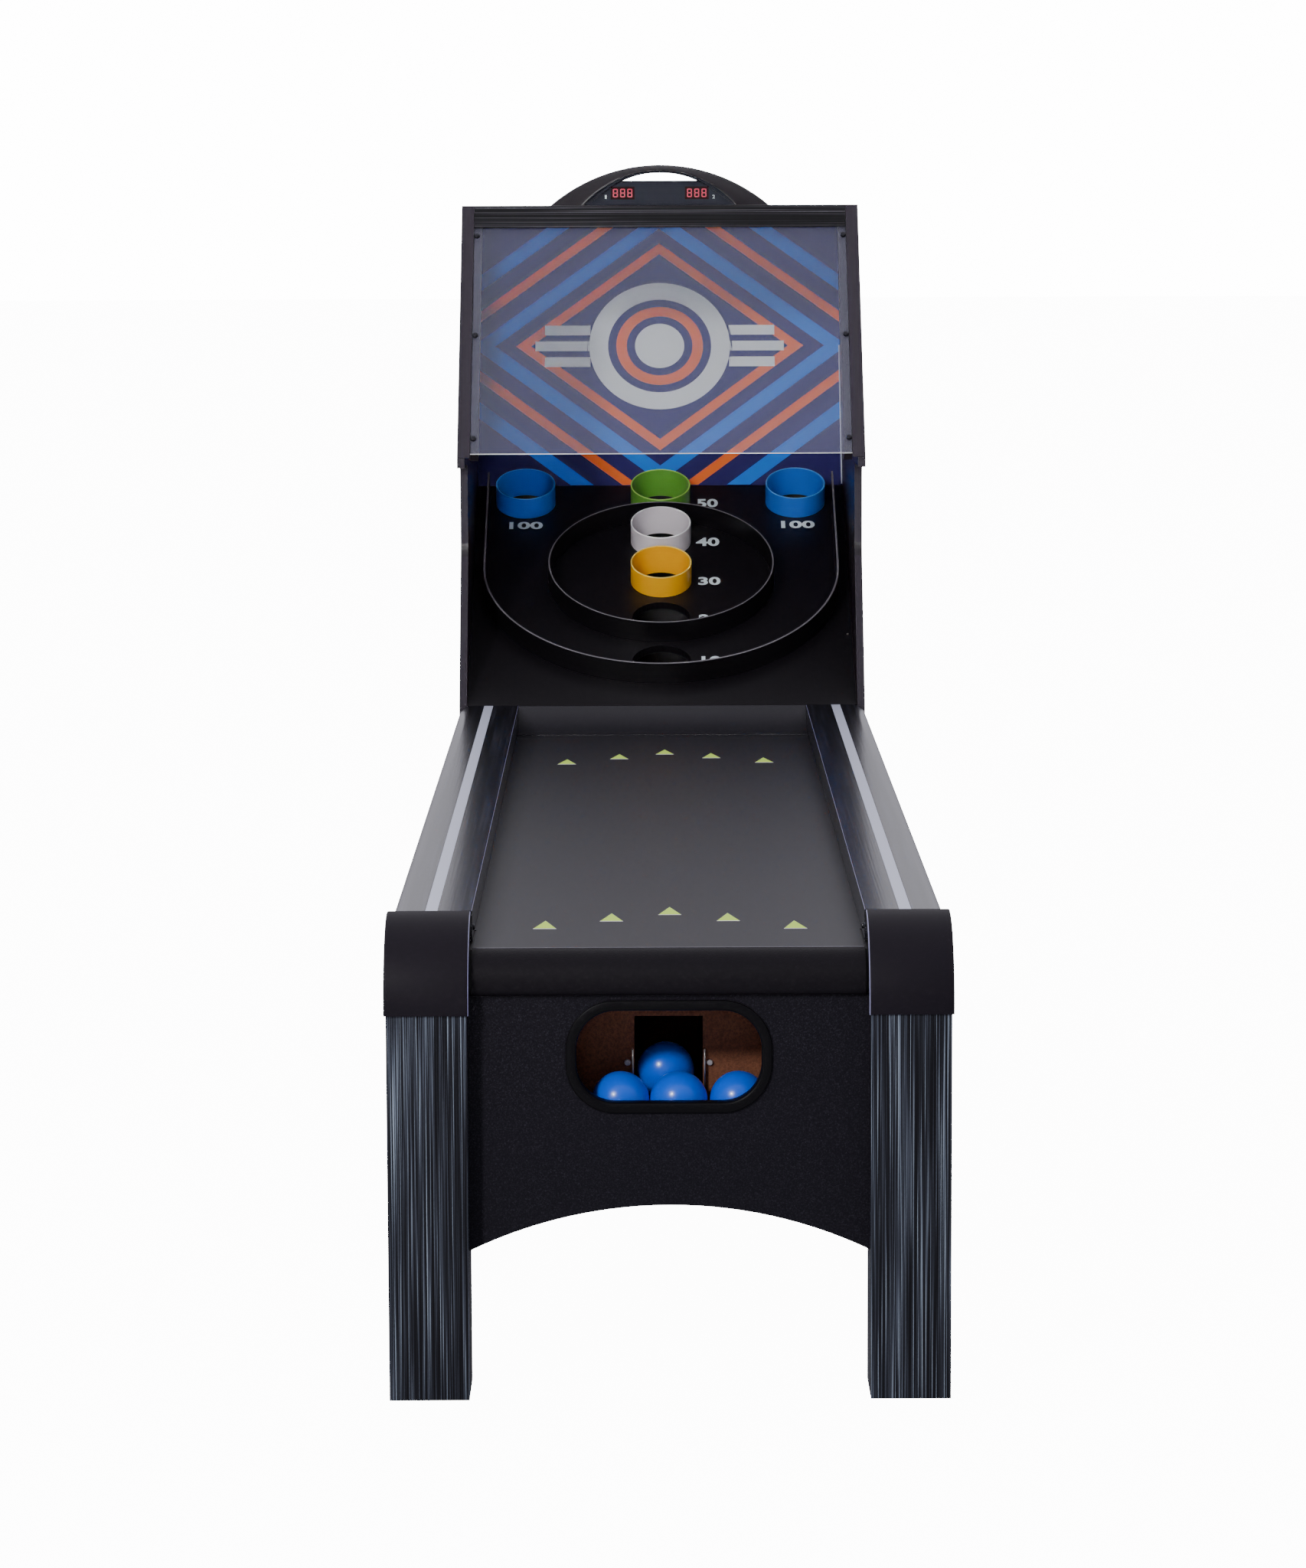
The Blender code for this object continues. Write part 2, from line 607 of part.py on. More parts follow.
def front_apron():
    """Arched panel between the front legs, with the ball window."""
    half = LEG_INNER - GAP
    rise = ARCH_CROWN - ARCH_END
    radius = (half ** 2 + rise ** 2) / (2 * rise)
    reach = math.asin(half / radius)
    arch = arc((0.0, ARCH_CROWN - radius), radius, math.pi / 2 + reach, math.pi / 2 - reach, ARCH_STEPS)
    outline = [*arch, (half, APRON_TOP), (-half, APRON_TOP)]
    apron = piece("front_apron", prism(outline, "Y", APRON_FACE, APRON_BACK), "black_laminate")
    hole = prism(window_outline(BEZEL_WALL + GAP), "Y", APRON_FACE - OVERRUN, APRON_BACK + OVERRUN)
    change(apron, hole)


def window_bezel():
    """Moulded bezel: a flange on the apron and a sleeve through it."""
    flange_back = APRON_FACE - GAP
    face = flange_back - BEZEL_FLANGE
    section = [
        (BEZEL_FACE - BEZEL_EASE, face), (BEZEL_FACE, face + BEZEL_EASE), (BEZEL_FACE, flange_back),
        (BEZEL_WALL, flange_back), (BEZEL_WALL, APRON_BACK), (0.0, APRON_BACK),
        (0.0, face + BEZEL_EASE), (BEZEL_EASE, face),
    ]
    loops = [[(x, y, z) for x, z in window_outline(grow)] for grow, y in section]
    piece("window_bezel", loft(loops, closed=True), "black_moulding")


def ball_box():
    """Fibreboard box behind the window; the apron is its front, and the trough enters at its back."""
    inside = BOX_INSIDE_WIDTH / 2
    outside = inside + BOX_BOARD
    body = block((-outside, BOX_FRONT, BOX_FLOOR - BOX_BOARD), (outside, BOX_BACK, APRON_TOP))
    box = piece("ball_box", body, "raw_fibreboard")
    room = block((-inside, BOX_FRONT - OVERRUN, BOX_FLOOR), (inside, BOX_WALL_FACE, APRON_TOP + OVERRUN))
    change(box, room)
    half = TROUGH_INSIDE / 2
    mouth = block((-half, BOX_WALL_FACE - OVERRUN, TROUGH_FLOOR),
                  (half, BOX_BACK + OVERRUN, TROUGH_FLOOR + MOUTH_HEIGHT))
    change(box, mouth)


def trough_slope():
    """Rise of the return trough for each metre towards the cabinet."""
    return TROUGH_RISE / (TROUGH_END - TROUGH_START)


def return_trough():
    """Three-board channel that runs the balls back under the lane."""
    half = TROUGH_INSIDE / 2
    outer = half + TROUGH_BOARD
    under = TROUGH_FLOOR - TROUGH_BOARD
    top = TROUGH_FLOOR + TROUGH_WALL
    outline = [(-outer, under), (outer, under), (outer, top), (half, top), (half, TROUGH_FLOOR),
               (-half, TROUGH_FLOOR), (-half, top), (-outer, top)]
    bm = prism(outline, "Y", TROUGH_START, TROUGH_END)
    for vert in bm.verts:
        vert.co.z += (vert.co.y - TROUGH_START) * trough_slope()
    piece("return_trough", bm, "raw_fibreboard")


def cabinet_cross_board():
    """Board across the cabinet's front below the lane, with the ball passage cut in it."""
    board = block((-INSIDE, CABINET_FRONT, SKIRT_BOTTOM), (INSIDE, CROSS_BACK, CROSS_TOP))
    cross = piece("cabinet_cross_board", board, "black_laminate")
    half = TROUGH_INSIDE / 2 + TROUGH_BOARD + GAP
    sill = TROUGH_FLOOR - TROUGH_BOARD - GAP + (CABINET_FRONT - TROUGH_START) * trough_slope()
    passage = block((-half, CABINET_FRONT - OVERRUN, sill), (half, CROSS_BACK + OVERRUN, sill + CROSS_PASSAGE))
    change(cross, passage)


def catch_tray():
    """Sloping tray whose guide walls lead every ball to the trough."""
    mouth = TROUGH_INSIDE / 2 + TRAY_BOARD
    reach = REAR_LEG_FACE - GAP - TRAY_FRONT
    length = reach / math.cos(TRAY_SLOPE) - (TRAY_BOARD + TRAY_WALL) * math.tan(TRAY_SLOPE)
    plan = [(-mouth, 0.0, 0), (mouth, 0.0, 0), (INSIDE, TRAY_SHOULDER, 0), (INSIDE, length, 0),
            (-INSIDE, length, 0), (-INSIDE, TRAY_SHOULDER, 0)]
    bm = prism(rounded(plan), "Z", 0.0, TRAY_BOARD + TRAY_WALL)
    top = max(bm.faces, key=lambda face: face.calc_center_median().z)
    bmesh.ops.inset_region(bm, faces=[top], thickness=TRAY_BOARD, use_even_offset=True)
    pull(bm, [top], Vector((0.0, 0.0, -TRAY_WALL)))
    level = TROUGH_FLOOR + TROUGH_RISE + TRAY_DROP - TRAY_BOARD
    start = TRAY_FRONT + (TRAY_BOARD + TRAY_WALL) * math.sin(TRAY_SLOPE)
    frame = Matrix.Translation((0.0, start, level)) @ Matrix.Rotation(TRAY_SLOPE, 4, "X")
    tray = piece("catch_tray", bm, "raw_fibreboard", frame)
    half = TROUGH_INSIDE / 2
    gate = block((-half, -OVERRUN, TRAY_BOARD), (half, TRAY_BOARD * 2, TRAY_BOARD + TRAY_WALL + OVERRUN))
    change(tray, gate)


def hole_cutters(radius, low, high):
    """One cutter with a cylinder at each score place."""
    bm = bmesh.new()
    for name, across, along, lever_side in places():
        circle = arc((across, along), radius, 0.0, math.tau * (1 - 1 / CUP_STEPS), CUP_STEPS - 1)
        prism(circle, "Z", low, high, bm)
    return bm


def target_board():
    """Sloping board with the seven score holes."""
    plate = block((-INSIDE, 0.0, -BOARD_THICK), (INSIDE, BOARD_LENGTH, 0.0))
    board = piece("target_board", plate, "target_black", BOARD_FRAME)
    change(board, hole_cutters(HOLE_RADIUS, -BOARD_THICK - OVERRUN, OVERRUN))


def fences():
    """The U-shaped outer fence and the round fence on the target board."""
    outer = OUTER_FENCE_RADIUS
    inner = outer - FENCE_WALL
    end = BOARD_LENGTH - FENCE_END
    centre = (0.0, in_gap(0, OUTER_FENCE_SHARE) - FENCE_WALL / 2 + outer)
    outline = [(-outer, end), *arc(centre, outer, math.pi, math.tau, FENCE_STEPS),
               (outer, end), (inner, end), *arc(centre, inner, math.tau, math.pi, FENCE_STEPS), (-inner, end)]
    piece("outer_fence", prism(outline, "Z", GAP, GAP + FENCE_HEIGHT), "target_black", BOARD_FRAME)
    low, high = in_gap(1, RING_LOW_SHARE), in_gap(4, RING_HIGH_SHARE)
    ring = (high - low) / 2 + FENCE_WALL / 2
    profile = rectangle(ring - FENCE_WALL, GAP, ring, GAP + FENCE_HEIGHT)
    frame = BOARD_FRAME @ Matrix.Translation((0.0, (low + high) / 2, 0.0))
    piece("ring_fence", turned(profile, RING_STEPS), "target_black", frame)


def score_cups():
    """Cups with a rolled-in foot that plugs into the board's hole."""
    spigot = HOLE_RADIUS - GAP
    mouth = CUP_RADIUS - CUP_WALL
    throat = spigot - CUP_WALL
    profile = [(CUP_RADIUS, GAP), (CUP_RADIUS, CUP_HEIGHT - CUP_CHAMFER), (CUP_RADIUS - CUP_CHAMFER, CUP_HEIGHT),
               (mouth + CUP_CHAMFER, CUP_HEIGHT), (mouth, CUP_HEIGHT - CUP_CHAMFER), (mouth, CUP_WALL),
               (throat, 0.0), (throat, -BOARD_THICK), (spigot, -BOARD_THICK), (spigot, GAP)]
    for name, across, along, lever_side in places():
        if name in CUP_COLOURS:
            frame = BOARD_FRAME @ Matrix.Translation((across, along, 0.0))
            piece(f"cup_{name}", turned(profile, CUP_STEPS), CUP_COLOURS[name], frame)


def sensor_frame():
    """Plate under the target board with an ear on each side of every score lever."""
    top = -BOARD_THICK - GAP
    low = top - SENSOR_PLATE
    across = CORNER_COLUMN + SENSOR_HOLE + SENSOR_MARGIN
    first = column()[0][0] - SENSOR_HOLE - SENSOR_MARGIN
    last = BOARD_LENGTH - GAP
    plate = block((-across, first, low), (across, last, top))
    frame = piece("sensor_frame", plate, "sensor_plastic", BOARD_FRAME)
    holes = hole_cutters(SENSOR_HOLE, low - OVERRUN, top + OVERRUN)
    change(frame, holes)
    ears = bmesh.new()
    bores = bmesh.new()
    half = LEVER_WIDTH / 2 + EAR_PLAY
    for name, place_x, place_y, lever_side in places():
        pin = place_x + lever_side * LEVER_OFFSET
        outline = rounded([(pin - EAR_HALF, low + SINK, 0), (pin - EAR_HALF, LEVER_LEVEL - EAR_BELOW_PIN, PIN_RADIUS),
                           (pin + EAR_HALF, LEVER_LEVEL - EAR_BELOW_PIN, PIN_RADIUS), (pin + EAR_HALF, low + SINK, 0)],
                          steps=2)
        prism(outline, "Y", place_y - half - EAR_THICK, place_y - half, ears)
        prism(outline, "Y", place_y + half, place_y + half + EAR_THICK, ears)
        bore = arc((pin, LEVER_LEVEL), PIN_RADIUS + PIN_PLAY, 0.0, math.tau * (1 - 1 / PIN_STEPS), PIN_STEPS - 1)
        far = half + EAR_THICK + OVERRUN
        prism(bore, "Y", place_y - far, place_y + far, bores)
    change(frame, ears, "UNION")
    change(frame, bores)


def score_levers():
    """One sprung lever under each hole, on a pin along the board's slope."""
    tail = LEVER_REACH
    half = LEVER_WIDTH / 2
    for name, across, along, lever_side in places():
        way = -lever_side
        hub = [Vector((way * x, z)) for x, z in
               arc((0.0, 0.0), LEVER_HUB, math.asin(LEVER_THICK / 2 / LEVER_HUB),
                   math.tau - math.asin(LEVER_THICK / 2 / LEVER_HUB), PIN_STEPS)]
        outline = [*hub, (way * tail, -LEVER_THICK / 2), (way * tail, LEVER_THICK / 2)]
        bm = prism(outline, "Y", -half, half)
        frame = BOARD_FRAME @ Matrix.Translation((across + lever_side * LEVER_OFFSET, along, LEVER_LEVEL))
        lever = piece(f"score_lever_{name}", bm, "sensor_plastic", frame)
        reach = half + EAR_PLAY + EAR_THICK
        pin = arc((0.0, 0.0), PIN_RADIUS, 0.0, math.tau * (1 - 1 / PIN_STEPS), PIN_STEPS - 1)
        change(lever, prism(pin, "Y", -reach, reach), "UNION")


def cabinet_sides():
    """Lower cabinet sides: a raked front edge, an upright throat and the nose under the canopy."""
    throat = CABINET_FRONT + SIDE_SETBACK
    under = CANOPY_BOTTOM - GAP - NOSE_THICK
    outline = rounded([
        (CABINET_FRONT, SKIRT_BOTTOM, 0), (BACK, SKIRT_BOTTOM, 0), (BACK, CANOPY_BOTTOM - GAP, 0),
        (CANOPY_FRONT, CANOPY_BOTTOM - GAP, 0), (CANOPY_FRONT, under, 0), (throat, under, NOSE_CORNER),
        (throat, SIDE_SETBACK_TOP, SIDE_THROAT_ROUND), (CABINET_FRONT, RAIL_TOP, 0),
    ])
    for name, side in sides("cabinet_side"):
        panel = prism(outline, "X", *between(side, SIDE_INNER, SIDE_OUTER))
        piece(name, panel, "black_laminate")


def canopy_sides():
    """Upper cabinet sides with a thick lip along the sloping front edge."""
    header_front = CANOPY_FRONT + CANOPY_SLOPE_RUN
    outline = [(CANOPY_FRONT, CANOPY_BOTTOM), (BACK, CANOPY_BOTTOM), (BACK, ROOF_TOP), (HEADER_BACK, ROOF_TOP),
               (HEADER_BACK, HEADER_TOP), (header_front, HEADER_TOP)]
    for name, side in sides("canopy_side"):
        bm = prism(outline, "X", *between(side, SIDE_INNER, SIDE_OUTER))
        cut_y, cut_z = slope_point(0.0, LIP_DEPTH)
        bmesh.ops.bisect_plane(bm, geom=bm.verts[:] + bm.edges[:] + bm.faces[:], plane_co=(0.0, cut_y, cut_z),
                               plane_no=(0.0, SLOPE_INTO.x, SLOPE_INTO.y))
        lip = []
        for face in bm.faces:
            centre = face.calc_center_median()
            depth = (Vector((centre.y, centre.z)) - slope_point(0.0, 0.0)).dot(SLOPE_INTO)
            if round(face.normal.x) == -side and depth < LIP_DEPTH:
                lip.append(face)
        pull(bm, lip, Vector((-side * (SIDE_INNER - LIP_INNER), 0.0, 0.0)))
        piece(name, bm, "black_laminate")


def canopy_top():
    """Header board in the plane of the slope, the roof behind it and the back panel."""
    header_front = CANOPY_FRONT + CANOPY_SLOPE_RUN
    low = HEADER_TOP - HEADER_HEIGHT
    start = slope_point(slope_at(low), 0.0)
    outline = [(start.x, low), (start.x + HEADER_DEPTH, low), (HEADER_BACK, ROOF_BOTTOM),
               (HEADER_BACK, HEADER_TOP), (header_front, HEADER_TOP)]
    half = LIP_INNER - GAP
    piece("header_board", prism(outline, "X", -half, half), "woodgrain_gloss")
    roof = block((-INSIDE, HEADER_BACK + GAP, ROOF_BOTTOM), (INSIDE, BACK_FACE - GAP, ROOF_TOP))
    piece("roof_panel", roof, "black_laminate")
    back = block((-INSIDE, BACK_FACE, SKIRT_BOTTOM), (INSIDE, BACK, ROOF_TOP))
    piece("back_panel", back, "black_laminate")


def backboard():
    """Printed board that leans back from the top of the target board to the roof."""
    foot = BOARD_FRAME @ Vector((0.0, BOARD_LENGTH + GAP, 0.0))
    head = Vector((BACK_FACE - GAP, ROOF_BOTTOM - GAP))
    lean = head - Vector((foot.y, foot.z))
    thick = BACKBOARD_THICK * lean.length / lean.y
    outline = [(foot.y, foot.z), (head.x - thick, head.y), (head.x, head.y), (foot.y + thick, foot.z)]
    piece("backboard", prism(outline, "X", -INSIDE, INSIDE), "printed_panel")


def shield():
    """Clear sheet in the canopy's slope, on a cleat along each lip."""
    half = LIP_INNER - GAP
    end = slope_at(HEADER_TOP - HEADER_HEIGHT) - GAP
    level = SLOPE_ALONG.x / SLOPE_ALONG.y
    front, rear = SHIELD_RECESS, SHIELD_RECESS + SHIELD_THICK
    sheet = [slope_point(SHIELD_START, front), slope_point(SHIELD_START, rear),
             slope_point(end + rear * level, rear), slope_point(end + front * level, front)]
    piece("shield", prism(sheet, "X", -half, half), "clear_sheet")
    near, far = rear + GAP, rear + GAP + CLEAT_THICK
    cleat = [slope_point(SHIELD_START, near), slope_point(SHIELD_START, far),
             slope_point(end + far * level, far), slope_point(end + near * level, near)]
    for name, side in sides("shield_cleat"):
        strip = prism(cleat, "X", *between(side, half - CLEAT_WIDTH, half))
        piece(name, strip, "black_laminate")


def scoreboard():
    """Arched housing with a sloping band, a recessed face and a slot right through."""
    top = SCORE_BASE + SCORE_HEIGHT
    outer = segment(SCORE_FOOT, SCORE_BASE, top)
    rim = segment(FACE_HALF + FACE_RIM, SCORE_BASE, SCORE_BASE + FACE_TOP + FACE_RIM)
    face = segment(FACE_HALF - FACE_FOOT, SCORE_BASE + FACE_FOOT, SCORE_BASE + FACE_TOP)
    band = SCORE_BACK - SCORE_BODY
    stations = [(outer, SCORE_BACK), (outer, band), (rim, SCORE_FRONT), (face, SCORE_FRONT),
                (face, SCORE_FRONT + FACE_RECESS)]
    loops = [[(x, y, z) for x, z in outline] for outline, y in stations]
    housing = piece("scoreboard_housing", loft(loops), "black_moulding")
    sagitta = FACE_TOP - FACE_FOOT
    radius = ((FACE_HALF - FACE_FOOT) ** 2 + sagitta ** 2) / (2 * sagitta) - SLOT_BAR
    centre = SCORE_BASE + FACE_TOP - SLOT_BAR - radius
    sill = SCORE_BASE + SLOT_FOOT
    half = math.sqrt(radius ** 2 - (sill - centre) ** 2)
    slot = segment(half, sill, centre + radius, CAP_STEPS)
    change(housing, prism(slot, "Y", SCORE_FRONT - OVERRUN, SCORE_BACK + OVERRUN))
    floor = SCORE_FRONT + FACE_RECESS
    middle = SCORE_BASE + DISPLAY_MIDDLE
    for name, side in sides("score_display"):
        x, wide, tall = side * DISPLAY_PLACE, DISPLAY_WIDTH / 2, DISPLAY_HEIGHT / 2
        pocket = block((x - wide - GAP, floor - OVERRUN, middle - tall - GAP),
                       (x + wide + GAP, floor + DISPLAY_THICK, middle + tall + GAP))
        change(housing, pocket)
        lens = block((x - wide, floor - GAP, middle - tall), (x + wide, floor + DISPLAY_THICK - GAP, middle + tall))
        piece(name, lens, "red_display")
    scoreboard_back(housing)


def scoreboard_back(housing):
    """Battery door and two push buttons in the back of the housing."""
    wide, tall = DOOR_WIDTH / 2, DOOR_HEIGHT / 2
    middle = SCORE_BASE + DOOR_MIDDLE
    grow = DOOR_PLAY
    recess = rectangle(-wide - grow, middle - tall - grow, wide + grow, middle + tall + grow, DOOR_CORNER + grow)
    change(housing, prism(recess, "Y", SCORE_BACK - DOOR_THICK - GAP, SCORE_BACK + OVERRUN))
    door = prism(rectangle(-wide, -tall, wide, tall, DOOR_CORNER), "Y", -DOOR_THICK, 0.0)
    piece("battery_door", door, "black_moulding", Matrix.Translation((0.0, SCORE_BACK, middle)))
    names = {-1: "power_button", 1: "reset_button"}
    bore = BUTTON_RADIUS + BUTTON_PLAY
    buried = BUTTON_LENGTH - BUTTON_PROUD
    for side, name in names.items():
        centre = (side * BUTTON_PLACE, middle)
        circle = arc(centre, bore, 0.0, math.tau * (1 - 1 / CUP_STEPS), CUP_STEPS - 1)
        change(housing, prism(circle, "Y", SCORE_BACK - buried - BUTTON_TRAVEL - GAP, SCORE_BACK + OVERRUN))
        bm = bmesh.new()
        bmesh.ops.create_cone(bm, cap_ends=True, segments=CUP_STEPS, radius1=BUTTON_RADIUS,
                              radius2=BUTTON_RADIUS, depth=BUTTON_LENGTH)
        rim = [edge for edge in bm.edges if min(vert.co.z for vert in edge.verts) > 0]
        bmesh.ops.bevel(bm, geom=rim, offset=BUTTON_EASE, segments=2, profile=0.5, affect="EDGES", material=-1)
        turn = Matrix.Rotation(-math.pi / 2, 4, "X") @ Matrix.Translation((0.0, 0.0, BUTTON_LENGTH / 2))
        bmesh.ops.transform(bm, matrix=turn, verts=bm.verts)
        frame = Matrix.Translation((centre[0], SCORE_BACK - buried, centre[1]))
        piece(name, bm, "silver_inlay", frame)


def balls():
    """Four balls: three against the window and one in the mouth of the trough."""
    radius = BALL_DIAMETER / 2
    for name, across, behind, in_mouth in BALLS:
        y = FRONT + behind
        floor = BOX_FLOOR
        if in_mouth:
            floor = TROUGH_FLOOR + (y - TROUGH_START) * trough_slope()
        bm = bmesh.new()
        bmesh.ops.create_icosphere(bm, subdivisions=3, radius=radius)
        piece(name, bm, "blue_plastic", Matrix.Translation((across, y, floor + radius + GAP)))


def build():
    start_empty()
    front_legs()
    rear_legs()
    corner_caps()
    rails()
    lane_frame()
    lane()
    launch_ramp()
    front_roll()
    front_apron()
    window_bezel()
    ball_box()
    return_trough()
    cabinet_cross_board()
    catch_tray()
    target_board()
    fences()
    score_cups()
    sensor_frame()
    score_levers()
    cabinet_sides()
    canopy_sides()
    canopy_top()
    backboard()
    shield()
    scoreboard()
    balls()


build()
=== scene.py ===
"""Looks of the roll and score game table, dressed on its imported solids.

Metres, +Z up. The player stands at -Y and the target cabinet is at +Y.
"""
import math

import bmesh
import bpy
from mathutils import Matrix, Vector


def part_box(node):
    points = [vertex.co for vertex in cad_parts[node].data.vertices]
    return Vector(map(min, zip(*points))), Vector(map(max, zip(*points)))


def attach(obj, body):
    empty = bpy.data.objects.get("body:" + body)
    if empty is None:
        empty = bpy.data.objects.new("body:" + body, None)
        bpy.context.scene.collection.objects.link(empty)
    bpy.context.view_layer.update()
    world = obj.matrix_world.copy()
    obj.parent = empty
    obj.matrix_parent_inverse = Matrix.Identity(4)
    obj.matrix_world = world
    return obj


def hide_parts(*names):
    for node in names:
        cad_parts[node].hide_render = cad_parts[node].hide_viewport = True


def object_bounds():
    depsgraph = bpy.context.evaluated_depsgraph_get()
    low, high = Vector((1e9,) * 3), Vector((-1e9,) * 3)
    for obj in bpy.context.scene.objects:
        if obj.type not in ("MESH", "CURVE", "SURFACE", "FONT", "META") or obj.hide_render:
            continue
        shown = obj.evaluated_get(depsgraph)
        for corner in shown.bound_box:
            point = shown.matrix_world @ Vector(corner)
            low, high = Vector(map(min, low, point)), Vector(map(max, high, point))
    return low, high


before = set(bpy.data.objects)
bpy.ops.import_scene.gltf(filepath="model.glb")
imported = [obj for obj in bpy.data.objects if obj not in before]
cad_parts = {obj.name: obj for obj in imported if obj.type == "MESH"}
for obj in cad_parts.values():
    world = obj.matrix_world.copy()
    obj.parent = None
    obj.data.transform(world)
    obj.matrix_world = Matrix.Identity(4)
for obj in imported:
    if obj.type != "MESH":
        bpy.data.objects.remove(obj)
solid_low, solid_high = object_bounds()

# Places and sizes taken from the solids
FRONT = solid_low.y                     # front of the corner caps
TABLE = "table"                         # the body that stands still
BOARD_SLOPE = math.radians(27.58)       # of the target board
BOARD_THICK = 0.012
HAIR = 0.0001                           # how far a print stands off its board
SHOWING_INK = 0.0002                    # thickness of a printed film
SMOOTH_ANGLE = math.radians(40.0)
ROLL_ROUND = 0.036                      # radius of the front roll's upper edge
ROLL_FOOT = 0.009                       # radius of its lower edge
RAIL_GROOVE = 0.0003                    # room round the inlay in its rail

# Camera of the photograph
CAMERA_PLACE = Vector((-0.02267, FRONT - 5.51035, 1.42692))
CAMERA_PITCH = math.radians(7.377)
CAMERA_YAW = math.radians(-0.0575)
CAMERA_ROLL = math.radians(-0.2235)
CAMERA_LENS = 112.934


# Colours and shader nodes

def linear(code):
    """Linear colour from an sRGB hex code."""
    shares = [int(code[i:i + 2], 16) / 255 for i in (1, 3, 5)]
    return tuple(c / 12.92 if c <= 0.04045 else ((c + 0.055) / 1.055) ** 2.4 for c in shares) + (1.0,)


def add(tree, kind, links=None, **settings):
    """Add one node with its settings, and a value or a link for each of its inputs."""
    made = tree.nodes.new(kind)
    for name, value in settings.items():
        setattr(made, name, value)
    for name, value in (links or {}).items():
        if isinstance(value, bpy.types.NodeSocket):
            tree.links.new(value, made.inputs[name])
        else:
            made.inputs[name].default_value = value
    return made


def plain(name, colour, roughness, **values):
    """A material with one colour, as its tree and its shader."""
    made = bpy.data.materials.new(name)
    made.use_nodes = True
    shader = made.node_tree.nodes["Principled BSDF"]
    shader.inputs["Base Color"].default_value = linear(colour)
    shader.inputs["Roughness"].default_value = roughness
    for socket, value in values.items():
        shader.inputs[socket.replace("_", " ")].default_value = value
    return made, made.node_tree, shader


def mottled(tree, size, detail=4.0, stretch=(1.0, 1.0, 1.0), shift=(0.0, 0.0, 0.0)):
    """A noise of one grain size in metres, stretched along an axis by making its scale small there."""
    place = add(tree, "ShaderNodeTexCoord").outputs["Object"]
    mapped = add(tree, "ShaderNodeMapping", {"Vector": place, "Scale": stretch, "Location": shift})
    noise = {"Vector": mapped.outputs["Vector"], "Scale": 1 / size, "Detail": detail, "Roughness": 0.55}
    return add(tree, "ShaderNodeTexNoise", noise).outputs["Fac"]


def ramp(tree, value, stops):
    """Colours or greys along a value."""
    made = add(tree, "ShaderNodeValToRGB", {"Fac": value})
    elements = made.color_ramp.elements
    while len(elements) < len(stops):
        elements.new(0.5)
    for element, (position, colour) in zip(elements, stops):
        element.position = position
        element.color = linear(colour)
    return made.outputs["Color"]


def roughen(tree, shader, value, depth, strength=1.0):
    """Raise a surface by a value, to a depth in metres."""
    bump = add(tree, "ShaderNodeBump", {"Height": value, "Distance": depth, "Strength": strength})
    tree.links.new(bump.outputs["Normal"], shader.inputs["Normal"])


def streaked_laminate(name, axis, grain, stops, roughness, depth, **values):
    """Wood-print laminate: pale lines of one grain width along one axis, pressed in a little.

    The eye sees hair-thin light lines side by side, some stronger than others, that run the length of
    the board.
    """
    made, tree, shader = plain(name, stops[0][1], roughness, **values)
    stretch = [1.0, 1.0, 1.0]
    stretch["XYZ".index(axis)] = 0.005
    fine = mottled(tree, grain, 1.5, stretch)
    bunch = mottled(tree, grain * 16, 1.0, stretch, (3.1, 1.7, 5.3))
    some = add(tree, "ShaderNodeMath", {0: bunch, 1: 0.16, 2: -0.08}, operation="MULTIPLY_ADD").outputs[0]
    lines = add(tree, "ShaderNodeMath", {0: fine, 1: some}, operation="ADD").outputs[0]
    tree.links.new(ramp(tree, lines, stops), shader.inputs["Base Color"])
    roughen(tree, shader, fine, depth, 0.35)
    return made


# Materials

